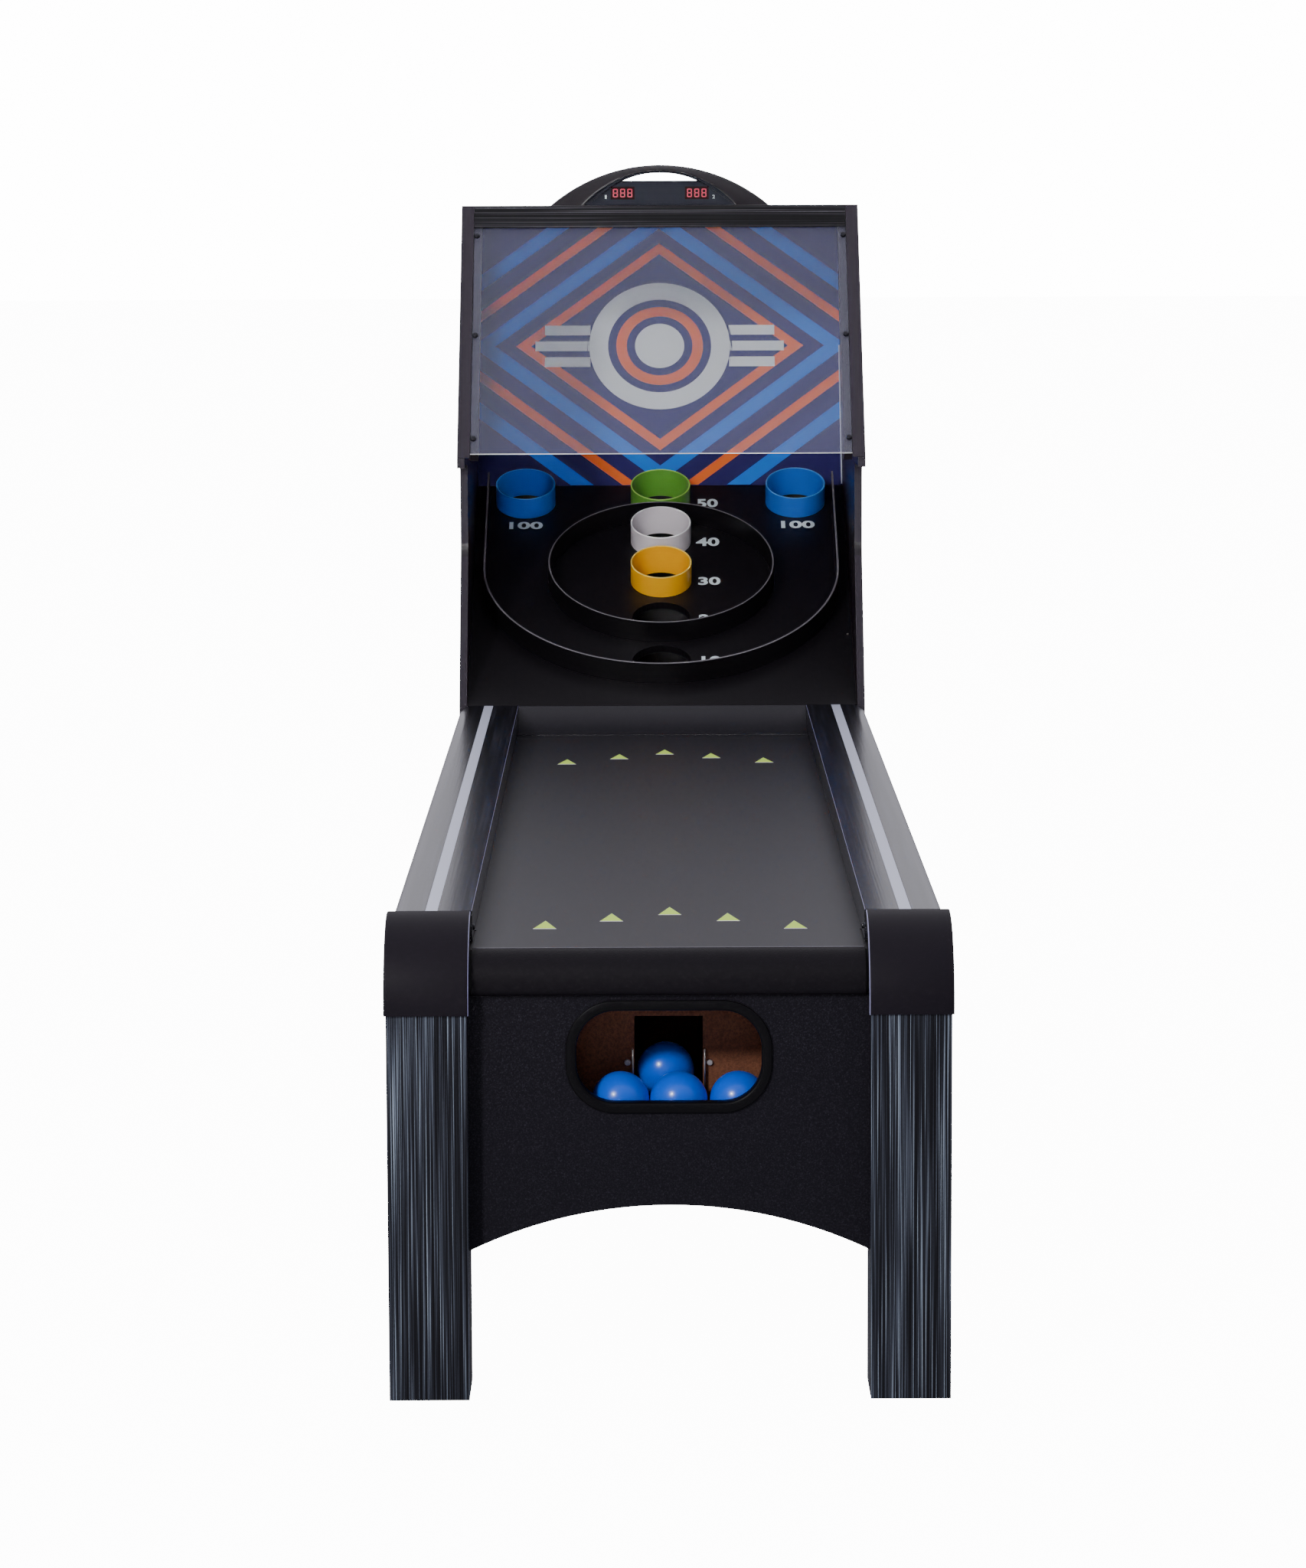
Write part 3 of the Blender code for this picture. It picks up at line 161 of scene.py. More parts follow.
def make_materials():
    """Every finish of the table, by a maker's plain name."""
    finishes = {}

    def even(name, colour, roughness, **values):
        """A finish without a grain, named as its material."""
        finishes[name] = plain(name, colour, roughness, **values)[0]

    def grained(finish, name, colour, roughness, grain, depth, strength, **values):
        """A finish of one colour with a grain pressed in; the grain is its size and detail."""
        made, tree, shader = plain(name, colour, roughness, **values)
        roughen(tree, shader, mottled(tree, *grain), depth, strength)
        finishes[finish] = made

    def flecked(finish, name, colour, roughness, grain, stops, depth, strength, **values):
        """A finish whose grain carries its colours too."""
        made, tree, shader = plain(name, colour, roughness, **values)
        fleck = mottled(tree, *grain)
        tree.links.new(ramp(tree, fleck, stops), shader.inputs["Base Color"])
        roughen(tree, shader, fleck, depth, strength)
        finishes[finish] = made

    # Black oak print laminate on particle board, satin: thin blue-grey lines down the legs.
    finishes["leg_laminate"] = streaked_laminate(
        "oak_print_laminate", "Z", 0.0012,
        [(0.41, "#131318"), (0.51, "#26282f"), (0.60, "#484d59"), (0.73, "#9caaba")], 0.5, 0.0002,
        Specular_IOR_Level=0.12)

    # High-gloss foil with a straight pressed grain on the rails: dark, with a clear sheen at grazing light.
    finishes["rail_foil"] = streaked_laminate(
        "gloss_grain_foil", "Y", 0.0020,
        [(0.42, "#0b0b0f"), (0.54, "#17171f"), (0.68, "#34353f")], 0.26, 0.0002)

    # The same foil on the header, where the grain runs across.
    finishes["header_foil"] = streaked_laminate(
        "header_grain_foil", "X", 0.0022,
        [(0.44, "#070709"), (0.56, "#17161a"), (0.72, "#504f55")], 0.45, 0.0003,
        Specular_IOR_Level=0.2)

    # Black PVC foil with a fine speckle pressed in: breaks the light into tiny points.
    flecked("apron_foil", "speckled_foil", "#15131a", 0.55, (0.0016, 2.0),
            [(0.44, "#15131a"), (0.60, "#1d1b22"), (0.76, "#2d2b34")], 0.0002, 0.5, Specular_IOR_Level=0.10)

    # Smooth black laminate of the cabinet, inside and out.
    grained("cabinet_laminate", "satin_black_laminate", "#1e191f", 0.30, (0.0011, 3.0), 0.00004, 0.3,
            Specular_IOR_Level=0.4)

    # PVC edge banding, paler and warmer than the faces it closes.
    grained("edge_banding", "edge_banding", "#37323a", 0.5, (0.0011, 3.0), 0.00005, 0.3,
            Specular_IOR_Level=0.15)

    # Moulded ABS with a fine spark-eroded grain: matt, brown-black.
    grained("moulded_abs", "moulded_abs", "#1a161d", 0.50, (0.0009, 2.0), 0.00008, 0.35,
            Specular_IOR_Level=0.10)

    # The same ABS from a polished mould, on the window's bezel: deeper black.
    grained("bezel_black", "bezel_black", "#0c0b0e", 0.42, (0.0009, 2.0), 0.00005, 0.3,
            Specular_IOR_Level=0.10)

    # Painted highlight on the rounded inner edges of the corner covers and of the rails: a thin lavender line.
    even("moulded_edge", "#9c9cc4", 0.35)

    # Gloss ABS of the scoreboard's band, which mirrors the room softly.
    even("gloss_abs", "#262226", 0.34, Specular_IOR_Level=0.3)

    # Dark blue-black face of the scoreboard, satin.
    even("scoreboard_face", "#22232e", 0.5, Specular_IOR_Level=0.12)

    # Vinyl-wrapped roll with a leather grain: satin, with small broken highlights.
    grained("roll_vinyl", "leather_grain_vinyl", "#141116", 0.50, (0.0026, 3.0), 0.0007, 0.5,
            Specular_IOR_Level=0.10)

    # Charcoal lane: a printed sheet on fibreboard, satin, with a hardly visible tooth.
    flecked("lane_print", "lane_print", "#19171f", 0.5, (0.0014, 3.0),
            [(0.35, "#16141b"), (0.65, "#1c1a22")], 0.0001, 0.4)

    # Screen-printed arrow inks, flat: yellow-green over a whitish edge.
    even("arrow_ink", "#cdf060", 0.6, Specular_IOR_Level=0.2)
    even("arrow_edge", "#ffffff", 0.6, Specular_IOR_Level=0.2)

    # White screen-print ink of the numbers.
    even("number_ink", "#e2f0f4", 0.6)

    # Extruded inlay strip, pale lavender-grey, satin.
    even("inlay_strip", "#c9cddf", 0.40)

    # Raw medium-density fibreboard: warm brown with a felt-like fleck.
    flecked("raw_fibreboard", "raw_fibreboard", "#70432c", 0.85, (0.0020, 4.0),
            [(0.35, "#643a24"), (0.65, "#7c4c33")], 0.0002, 0.3)

    # Black satin paint of the target board.
    grained("target_paint", "target_paint", "#100d12", 0.40, (0.0010, 3.0), 0.00005, 0.3,
            Specular_IOR_Level=0.4)

    # Bent black sheet of the fences, with a painted highlight along their upper edge.
    even("fence_black", "#0e0c10", 0.34, Specular_IOR_Level=0.4)
    even("fence_edge", "#77747a", 0.4)

    # Printed backboard: navy ground with blue, orange and pale grey inks under a satin varnish.
    for ink, code in (("navy", "#231e5c"), ("blue", "#1b74dc"), ("orange", "#ea6a2c"), ("grey", "#e6ebef")):
        even(f"print_{ink}", code, 0.42, Specular_IOR_Level=0.3)

    # Injection-moulded cups and balls: bright, slightly soft gloss. The cups' rims carry a painted highlight,
    # a paler copy of each cup's colour.
    plastics = (("blue", "#0c64cc", "#4e97e6"), ("green", "#619d37", "#a8dc62"),
                ("white", "#e6dfe4", "#ffffff"), ("yellow", "#ffb800", "#ffd965"))
    for colour, wall, rim in plastics:
        even(f"cup_{colour}", wall, 0.36, Coat_Weight=0.2, Coat_Roughness=0.15)
        even(f"rim_{colour}", rim, 0.4)
    even("ball_blue", "#055ee6", 0.28, Coat_Weight=0.1, Coat_Roughness=0.1)

    # Clear polycarbonate sheet: nearly nothing but a pale veil over what lies behind it.
    even("clear_sheet", "#dcdfff", 0.04, Alpha=0.055, IOR=1.52)

    # Painted highlight: a pale strip along the crest of the roll, where the lane's sheet ends.
    even("sheet_lip", "#7d7b86", 0.4)

    # Painted highlight on the sawn edge of the clear sheet: plain white.
    even("sheet_edge", "#ffffff", 0.3)

    # Black-oxide steel of the screws, and bright steel of the clips.
    even("black_screw", "#2b2b30", 0.28, Metallic=0.7)
    even("bright_steel", "#b9b4b0", 0.30, Metallic=1.0)

    # Dark window and lit segments of the displays.
    even("display_window", "#22080f", 0.5, Specular_IOR_Level=0.1)
    even("lit_segment", "#b01038", 0.4, Emission_Color=linear("#dc1640"), Emission_Strength=0.40)

    # Technical plastic of the sensor parts, and grey button caps.
    even("sensor_plastic", "#2c2c2f", 0.55)
    even("button_grey", "#9a9da6", 0.42)
    return finishes


FINISH = make_materials()


# Making pieces

def finished(name, bm, material, smooth=True):
    """One object of the table from a bmesh, in a material."""
    mesh = bpy.data.meshes.new(name)
    bm.to_mesh(mesh)
    bm.free()
    if smooth:
        mesh.shade_smooth()
        mesh.set_sharp_from_angle(angle=SMOOTH_ANGLE)
    mesh.materials.append(FINISH[material])
    made = bpy.data.objects.new(name, mesh)
    bpy.context.scene.collection.objects.link(made)
    return made


def dress(name, bm, material, replaced=(), body=TABLE, smooth=True):
    """A finished piece that rides on a body, takes a slot and stands for solids."""
    made = finished(name, bm, material, smooth)
    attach(made, body)
    if replaced:
        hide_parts(*replaced)
    return made


def block(low, high):
    """A plain block between two corners."""
    low, high = Vector(low), Vector(high)
    bm = bmesh.new()
    bmesh.ops.create_cube(bm, size=1.0)
    bmesh.ops.scale(bm, vec=high - low, verts=bm.verts)
    bmesh.ops.translate(bm, vec=(low + high) / 2, verts=bm.verts)
    return bm


def ease(bm, radius, chosen=None, segments=3):
    """Round the chosen edges of a shape, or all its sharp ones."""
    if chosen is None:
        edges = [edge for edge in bm.edges if edge.calc_face_angle(0.0) > SMOOTH_ANGLE]
    else:
        edges = [edge for edge in bm.edges if chosen((edge.verts[0].co + edge.verts[1].co) / 2)]
    bmesh.ops.bevel(bm, geom=edges, offset=radius, segments=segments, profile=0.5, affect="EDGES",
                    material=-1, clamp_overlap=True)
    bmesh.ops.recalc_face_normals(bm, faces=bm.faces)
    return bm


def flat_shape(points, thickness, along=(0.0, 0.0, 1.0)):
    """A flat shape through a few corner points, raised to a thickness along a way."""
    bm = bmesh.new()
    face = bm.faces.new([bm.verts.new(point) for point in points])
    raised = bmesh.ops.extrude_face_region(bm, geom=[face])
    verts = [item for item in raised["geom"] if isinstance(item, bmesh.types.BMVert)]
    bmesh.ops.translate(bm, vec=Vector(along) * thickness, verts=verts)
    bmesh.ops.recalc_face_normals(bm, faces=bm.faces)
    return bm


def lathe(profile, steps):
    """A closed ring from a wire profile of (radius, height) points, about the Z axis."""
    bm = bmesh.new()
    points = [bm.verts.new((radius, 0.0, height)) for radius, height in profile]
    wires = [bm.edges.new((points[i - 1], points[i])) for i in range(len(points))]
    bmesh.ops.spin(bm, geom=points + wires, cent=(0.0, 0.0, 0.0), axis=(0.0, 0.0, 1.0), angle=math.tau,
                   steps=steps, use_merge=True)
    bmesh.ops.recalc_face_normals(bm, faces=bm.faces)
    return bm


def placed(bm, matrix):
    """The shape moved by a matrix."""
    bmesh.ops.transform(bm, matrix=matrix, verts=bm.verts)
    return bm


def arc_points(centre, radius, start, end, steps):
    """Points of an arc in a plane, for the corners of a profile."""
    turn = [start + (end - start) * step / steps for step in range(steps + 1)]
    return [(centre[0] + radius * math.cos(angle), centre[1] + radius * math.sin(angle)) for angle in turn]


def board_matrix():
    """From the target board's own frame, X across and Y up its slope, to the table."""
    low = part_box("target_board")[0]
    lift = low.z + BOARD_THICK * math.cos(BOARD_SLOPE)
    return Matrix.Translation((0.0, low.y, lift)) @ Matrix.Rotation(BOARD_SLOPE, 4, "X")


BOARD = board_matrix()


# Front: caps, roll, rails and lane

def corner_caps():
    """Moulded covers over the rail ends: a shell with softly rounded sides, spun round the corner."""
    for side in ("left", "right"):
        low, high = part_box(f"corner_cap_{side}")
        wall, reach, turn, soft = 0.0022, 0.0156, 0.100, 0.0026
        axis_y, axis_z, top = low.y + turn, high.z - turn, high.z
        shell = [
            (low.x, top - reach), *arc_points((low.x + soft, top - soft), soft, math.pi, math.pi / 2, 5),
            *arc_points((high.x - soft, top - soft), soft, math.pi / 2, 0.0, 5), (high.x, top - reach),
            (high.x - wall, top - reach), (high.x - wall, top - wall), (low.x + wall, top - wall),
            (low.x + wall, top - reach),
        ]
        bm = bmesh.new()
        face = bm.faces.new([bm.verts.new((x, axis_y, z)) for x, z in shell])
        turned = bmesh.ops.spin(bm, geom=[face], cent=(0.0, axis_y, axis_z), axis=(1.0, 0.0, 0.0),
                                angle=math.pi / 2, steps=30)
        last = [item for item in turned["geom_last"] if isinstance(item, bmesh.types.BMFace)]
        skirt = bmesh.ops.extrude_face_region(bm, geom=last)
        moved = [item for item in skirt["geom"] if isinstance(item, bmesh.types.BMVert)]
        bmesh.ops.translate(bm, vec=(0.0, 0.0, low.z - axis_z), verts=moved)
        bmesh.ops.delete(bm, geom=[item for item in last if item.is_valid], context="FACES_ONLY")
        bmesh.ops.recalc_face_normals(bm, faces=bm.faces)
        cover = dress(f"corner_cover_{side}", bm, "moulded_abs", [f"corner_cap_{side}"])
        # The rounded inner edge of each cover takes the painted highlight, a thin lavender line.
        cover.data.materials.append(FINISH["moulded_edge"])
        inward = -1.0 if low.x > 0 else 1.0
        for polygon in cover.data.polygons:
            if 0.6 < inward * polygon.normal.x < 0.93:
                polygon.material_index = 1


def front_roll():
    """Vinyl roll at the lane's front end, rounded large above and small below."""
    low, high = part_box("front_roll")
    bm = block(low, high)
    ease(bm, ROLL_ROUND, lambda p: p.y < low.y + 0.001 and p.z > high.z - 0.001, 18)
    ease(bm, ROLL_FOOT, lambda p: p.y < low.y + 0.001 and p.z < low.z + 0.001, 8)
    dress("vinyl_roll", bm, "roll_vinyl", ["front_roll"])
    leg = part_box("front_leg_right")[0].x
    for side, sign in (("left", -1), ("right", 1)):
        near, far = sorted((sign * (high.x + HAIR), sign * (leg - 0.0002)))
        bm = block((near, low.y + 0.028, low.z - 0.004), (far, high.y, high.z - 0.0010))
        dress(f"roll_end_pad_{side}", bm, "fence_black", smooth=False)
    # Painted highlight: a thin pale strip on the roll's crest, where the lane's sheet meets it.
    lip = block((low.x + 0.0006, low.y + ROLL_ROUND - 0.0015, high.z + HAIR),
                (high.x - 0.0006, low.y + ROLL_ROUND - HAIR, high.z + 4 * HAIR))
    dress("lane_sheet_lip", lip, "sheet_lip", smooth=False)


def rails():
    """Gloss rails with a large outer rounding, eased inner edge and a groove under the inlay."""
    for side, sign in (("left", -1), ("right", 1)):
        low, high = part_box(f"rail_{side}")
        inlay_low, inlay_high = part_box(f"rail_inlay_{side}")
        outer, inner = (high.x, low.x) if sign > 0 else (low.x, high.x)
        strip_out, strip_in = (inlay_high.x, inlay_low.x) if sign > 0 else (inlay_low.x, inlay_high.x)
        lip_out, lip_in = strip_out + sign * RAIL_GROOVE, strip_in - sign * RAIL_GROOVE
        bm = block((min(outer, lip_out), low.y, low.z), (max(outer, lip_out), high.y, high.z))
        ease(bm, 0.018, lambda p: abs(p.x - outer) < 0.0005 and p.z > high.z - 0.001, 12)
        dress(f"rail_outer_{side}", bm, "rail_foil", [f"rail_{side}"])
        bm = block((min(inner, lip_in), low.y, low.z), (max(inner, lip_in), high.y, high.z))
        ease(bm, 0.0014, lambda p: abs(p.x - inner) < 0.0005 and p.z > high.z - 0.001, 4)
        rail = dress(f"rail_inner_{side}", bm, "rail_foil")
        # The eased inner edge of each rail takes the painted highlight, a thin lavender line.
        rail.data.materials.append(FINISH["moulded_edge"])
        for polygon in rail.data.polygons:
            if 0.3 < -sign * polygon.normal.x < 0.8:
                polygon.material_index = 1
        bed = block((min(lip_in, lip_out), low.y, low.z),
                    (max(lip_in, lip_out), high.y, inlay_low.z - RAIL_GROOVE))
        dress(f"rail_bed_{side}", bed, "rail_foil")


def lane_sheet():
    """Printed sheet over the lane board and the flat of the roll, up to the ramp."""
    roll_low, roll_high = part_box("front_roll")
    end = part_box("launch_ramp")[0].y - 0.0003
    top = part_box("lane_board")[1].z + HAIR
    bm = block((roll_low.x + 0.0003, roll_low.y + ROLL_ROUND, top),
               (roll_high.x - 0.0003, end, top + SHOWING_INK))
    dress("lane_print_sheet", bm, "lane_print")


def lane_marks():
    """Printed arrows with a whitish edge: five at the front of the lane and five before the ramp."""
    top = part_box("lane_board")[1].z + HAIR + SHOWING_INK
    rows = [
        ("front", 0.0150, [(-0.1448, 0.1783), (-0.0668, 0.2331), (0.0026, 0.2810), (0.0717, 0.2328),
                           (0.1496, 0.1739)]),
        ("back", 0.0055, [(-0.1434, 1.7390), (-0.0658, 1.7992), (0.0026, 1.8545), (0.0724, 1.8081),
                          (0.1502, 1.7519)]),
    ]
    half, length = 0.0130, 0.056
    shapes = (("edge", "arrow_edge", 0.0009, 0.0028, 0.0020, HAIR),
              ("fill", "arrow_ink", 0.0, 0.0, 0.0, 3 * HAIR))
    for row, inset, marks in rows:
        for index, (x, y) in enumerate(marks):
            foot = FRONT + y + inset
            for part, ink, side, below, above, lift in shapes:
                z = top + lift
                bm = flat_shape([(x - half - side, foot - below, z), (x + half + side, foot - below, z),
                                 (x, foot + length + above, z)], HAIR)
                dress(f"lane_arrow_{row}_{index + 1}_{part}", bm, ink, smooth=False)


def ramp_piece():
    """Concave ramp with a smooth sweep."""
    low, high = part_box("launch_ramp")
    crest, toe = 0.008, 0.0012
    run, rise = high.y - crest - low.y, high.z - low.z - toe
    radius = (run ** 2 + rise ** 2) / (2 * rise)
    sweep = math.asin(min(1.0, run / radius))
    curve = arc_points((low.y, low.z + toe + radius), radius, -math.pi / 2, -math.pi / 2 + sweep, 28)
    outline = [(low.y, low.z), *curve, (high.y, high.z), (high.y, low.z)]
    bm = flat_shape([(low.x, y, z) for y, z in outline], high.x - low.x, (1.0, 0.0, 0.0))
    dress("lane_ramp", bm, "lane_print", ["launch_ramp"])


# Window, ball box and balls

def window_bezel():
    """Moulded bezel with soft edges: one section turned round each corner and drawn along each side."""
    low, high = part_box("window_bezel")
    middle, face, margin, corner = (low.z + high.z) / 2, low.y, 0.0122, 0.045
    half_x, half_z = high.x - margin - corner, (high.z - low.z) / 2 - margin - corner
    section = [
        (margin, face + 0.0030), (margin, face + 0.0016), (margin - 0.0007, face + 0.0005),
        (margin - 0.0020, face),
        (0.0026, face), (0.0010, face + 0.0006), (0.0, face + 0.0020), (0.0, high.y), (0.0030, high.y),
        (0.0030, face + 0.0030),
    ]
    quarters = ((1, 1), (-1, 1), (-1, -1), (1, -1))
    centres = [Vector((sx * half_x, 0.0, middle + sz * half_z)) for sx, sz in quarters]
    bm = bmesh.new()
    verts = [bm.verts.new(centres[0] + Vector((corner + grow, y, 0.0))) for grow, y in section]
    edges = [bm.edges.new((verts[i - 1], verts[i])) for i in range(len(verts))]
    for quarter in range(4):
        turned = bmesh.ops.spin(bm, geom=verts + edges, cent=centres[quarter], axis=(0.0, -1.0, 0.0),
                                angle=math.pi / 2, steps=12)
        edges = [item for item in turned["geom_last"] if isinstance(item, bmesh.types.BMEdge)]
        drawn = bmesh.ops.extrude_edge_only(bm, edges=edges)
        verts = [item for item in drawn["geom"] if isinstance(item, bmesh.types.BMVert)]
        edges = [item for item in drawn["geom"] if isinstance(item, bmesh.types.BMEdge)
                 and all(vert in verts for vert in item.verts)]
        bmesh.ops.translate(bm, vec=centres[(quarter + 1) % 4] - centres[quarter], verts=verts)
    bmesh.ops.remove_doubles(bm, verts=bm.verts, dist=0.00001)
    bmesh.ops.recalc_face_normals(bm, faces=bm.faces)
    dress("window_surround", bm, "bezel_black", ["window_bezel"])


def trough_clips():
    """Bright steel clips at both sides of the trough's mouth, each with a stud."""
    board = 0.009
    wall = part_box("ball_box")[1].y - board
    for side, sign in (("left", -1), ("right", 1)):
        x = sign * 0.0418
        bm = block((x - 0.0009, wall - 0.0060, 0.337), (x + 0.0009, wall - HAIR, 0.3860))
        ease(bm, 0.0004, segments=2)
        dress(f"trough_clip_{side}", bm, "bright_steel")
        bm = bmesh.new()
        bmesh.ops.create_cone(bm, cap_ends=True, segments=24, radius1=0.0040, radius2=0.0032, depth=0.0030)
        turn = Matrix.Rotation(math.pi / 2, 4, "X")
        placed(bm, Matrix.Translation((x + sign * 0.0060, wall - 0.0018, 0.3700)) @ turn)
        dress(f"trough_stud_{side}", bm, "bright_steel")


def trough_cheeks():
    """Boards on the trough's walls behind its mouth, up to the lane, so that no daylight shows through it."""
    low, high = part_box("return_trough")
    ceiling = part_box("lane_board")[0].z - HAIR
    wall, tall, reach = 0.005, 0.045, 0.30
    start, foot = low.y + HAIR, low.z + tall + HAIR
    rise = (high.z - low.z - tall) / (high.y - low.y) * reach
    outline = [(start, foot), (start + reach, foot + rise), (start + reach, ceiling), (start, ceiling)]
    for side, inner in (("left", low.x), ("right", high.x - wall)):
        bm = flat_shape([(inner, y, z) for y, z in outline], wall, (1.0, 0.0, 0.0))
        dress(f"trough_cheek_{side}", bm, "raw_fibreboard", smooth=False)


def balls():
    """Moulded blue balls, smooth all round."""
    for name in ("ball_front_left", "ball_front_middle", "ball_front_right", "ball_back"):
        low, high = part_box(name)
        bm = bmesh.new()
        bmesh.ops.create_icosphere(bm, subdivisions=5, radius=(high.x - low.x) / 2)
        placed(bm, Matrix.Translation((low + high) / 2))
        dress(f"played_{name}", bm, "ball_blue", [name], body=name)


# Target board

def fences():
    """Thin fences with a painted highlight along their upper edge."""
    # rim is the height of the painted highlight band along the top of each fence.
    wall, top, foot, rim = 0.003, 0.0383, 0.0003, 0.0006
    low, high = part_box("ring_fence")
    radius = (high.x - low.x) / 2
    inverse = BOARD.inverted()
    middle = inverse @ ((low + high) / 2)
    centre = Matrix.Translation((0.0, middle.y, 0.0))
    body = [(radius, foot), (radius, top - rim), (radius - wall, top - rim), (radius - wall, foot)]
    # Profile of the painted highlight band on the fence's top.
    edge = [(radius - 0.0004, top - rim + HAIR), (radius - 0.0009, top), (radius - wall + 0.0009, top),
            (radius - wall + 0.0004, top - rim + HAIR)]
    seat = BOARD @ centre
    dress("round_fence", placed(lathe(body, 128), seat), "fence_black", ["ring_fence"])
    dress("round_fence_edge", placed(lathe(edge, 128), seat), "fence_edge")

    low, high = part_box("outer_fence")
    outer = (high.x - low.x) / 2
    arc_low, end = 0.06099, 0.644       # up the board, from the lowest point of the U to its open ends
    profiles = {"outer_fence_wall": ((foot, top - rim), "fence_black", 0.0),
                "outer_fence_edge": ((top - rim + HAIR, top), "fence_edge", 0.0006)}
    for name, ((z0, z1), material, inset) in profiles.items():
        inner = outer - wall
        section = [(-outer, end, z0), (-inner, end, z0), (-inner - inset, end, z1), (-outer + inset, end, z1)]
        bm = bmesh.new()
        face = bm.faces.new([bm.verts.new(point) for point in section])
        straight = bmesh.ops.extrude_face_region(bm, geom=[face])
        moved = [item for item in straight["geom"] if isinstance(item, bmesh.types.BMVert)]
        bmesh.ops.translate(bm, vec=(0.0, arc_low + outer - end, 0.0), verts=moved)
        cap = [item for item in straight["geom"] if isinstance(item, bmesh.types.BMFace)]
        turned = bmesh.ops.spin(bm, geom=cap, cent=(0.0, arc_low + outer, 0.0), axis=(0.0, 0.0, 1.0),
                                angle=math.pi, steps=96)
        last = [item for item in turned["geom_last"] if isinstance(item, bmesh.types.BMFace)]
        far = bmesh.ops.extrude_face_region(bm, geom=last)
        moved = [item for item in far["geom"] if isinstance(item, bmesh.types.BMVert)]
        bmesh.ops.translate(bm, vec=(0.0, end - arc_low - outer, 0.0), verts=moved)
        bmesh.ops.delete(bm, geom=[item for item in cap + last if item.is_valid], context="FACES_ONLY")
        bmesh.ops.recalc_face_normals(bm, faces=bm.faces)
        replaced = ["outer_fence"] if name == "outer_fence_wall" else []
        dress(name, placed(bm, BOARD), material, replaced)


def cups():
    """Moulded cups with a painted highlight on the rim, a paler copy of their colour, an inner wall drafted
    down to the hole, and a spigot below.
    """
    outer, wall, top, foot = 0.04975, 0.0025, 0.038, 0.0003
    soft, throat, spigot, under = 0.0009, 0.0447, 0.0472, -0.012
    profile = [(outer, foot), (outer, top - soft - HAIR), (outer - wall, top - soft - HAIR), (throat, 0.0),
               (throat, under), (spigot, under), (spigot, foot)]
    inner, shy, drop = outer - wall, 0.0004, 0.0002
    # The rim ring takes a paler copy of the cup's colour: a painted highlight.
    rim = [(outer, top - soft), (outer - shy, top - drop), (outer - soft, top), (inner + soft, top),
           (inner + shy, top - drop), (inner, top - soft)]
    colours = (("100_left", "blue"), ("100_right", "blue"), ("50", "green"), ("40", "white"),
               ("30", "yellow"))
    for name, colour in colours:
        low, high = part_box(f"cup_{name}")
        centre = BOARD.inverted() @ ((low + high) / 2)
        centre.z = 0.0
        bm = placed(lathe(profile, 96), BOARD @ Matrix.Translation(centre))
        dress(f"score_cup_{name}", bm, f"cup_{colour}", [f"cup_{name}"])
        bm = placed(lathe(rim, 96), BOARD @ Matrix.Translation(centre))
        dress(f"score_cup_rim_{name}", bm, f"rim_{colour}")


def figure(name, text, matrix, wide, tall, weight, material):
    """Figures as a raised ink film, centred in a frame's XY plane and fitted to a width and a height."""
    curve = bpy.data.curves.new(name, "FONT")
    curve.body = text
    curve.offset = weight
    curve.extrude = 0.5
    curve.resolution_u = 5
    shaped = bpy.data.objects.new(name, curve)
    bpy.context.scene.collection.objects.link(shaped)
    bpy.context.view_layer.update()
    mesh = bpy.data.meshes.new_from_object(shaped.evaluated_get(bpy.context.evaluated_depsgraph_get()))
    bpy.data.objects.remove(shaped)
    bm = bmesh.new()
    bm.from_mesh(mesh)
    bpy.data.meshes.remove(mesh)
    bmesh.ops.remove_doubles(bm, verts=bm.verts, dist=0.0001)
    xs = [vert.co.x for vert in bm.verts]
    ys = [vert.co.y for vert in bm.verts]
    centre = Vector(((min(xs) + max(xs)) / 2, (min(ys) + max(ys)) / 2, -0.5))
    bmesh.ops.translate(bm, vec=-centre, verts=bm.verts)
    size = Vector((wide / (max(xs) - min(xs)), tall / (max(ys) - min(ys)), SHOWING_INK))
    bmesh.ops.scale(bm, vec=size, verts=bm.verts)
    bmesh.ops.recalc_face_normals(bm, faces=bm.faces)
    placed(bm, matrix @ Matrix.Translation((0.0, 0.0, HAIR)))
    dress(name, bm, material, smooth=False)


def numbers():
    """Printed score numbers beside their places."""
    layout = [
        ("100_left", "100", -0.2243, 0.5362, 0.0560, 0.0230),
        ("100_right", "100", 0.2287, 0.5362, 0.0560, 0.0230),
        ("50", "50", 0.0785, 0.6050, 0.0355, 0.0265),
        ("40", "40", 0.0775, 0.4829, 0.0390, 0.0263),
        ("30", "30", 0.0789, 0.3625, 0.0365, 0.0240),
        ("20", "20", 0.0785, 0.2490, 0.0365, 0.0262),
        ("10", "10", 0.0793, 0.1262, 0.0315, 0.0265),
    ]
    for name, text, x, v, wide, tall in layout:
        figure(f"score_number_{name}", text, BOARD @ Matrix.Translation((x, v, 0.0)), wide, tall, 0.032,
               "number_ink")


# Cabinet

def backboard_matrix():
    """From the printed board's own frame, X across and Y up its lean, to the table; and its length."""
    low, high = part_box("backboard")
    foot = Vector((0.0, low.y, low.z))
    up = Vector((0.0, high.y - 0.005 * 1.1466, high.z)) - foot
    turn = Matrix.Rotation(math.atan2(up.z, up.y), 4, "X")
    return Matrix.Translation(foot) @ turn, up.length, high.x - 0.0005


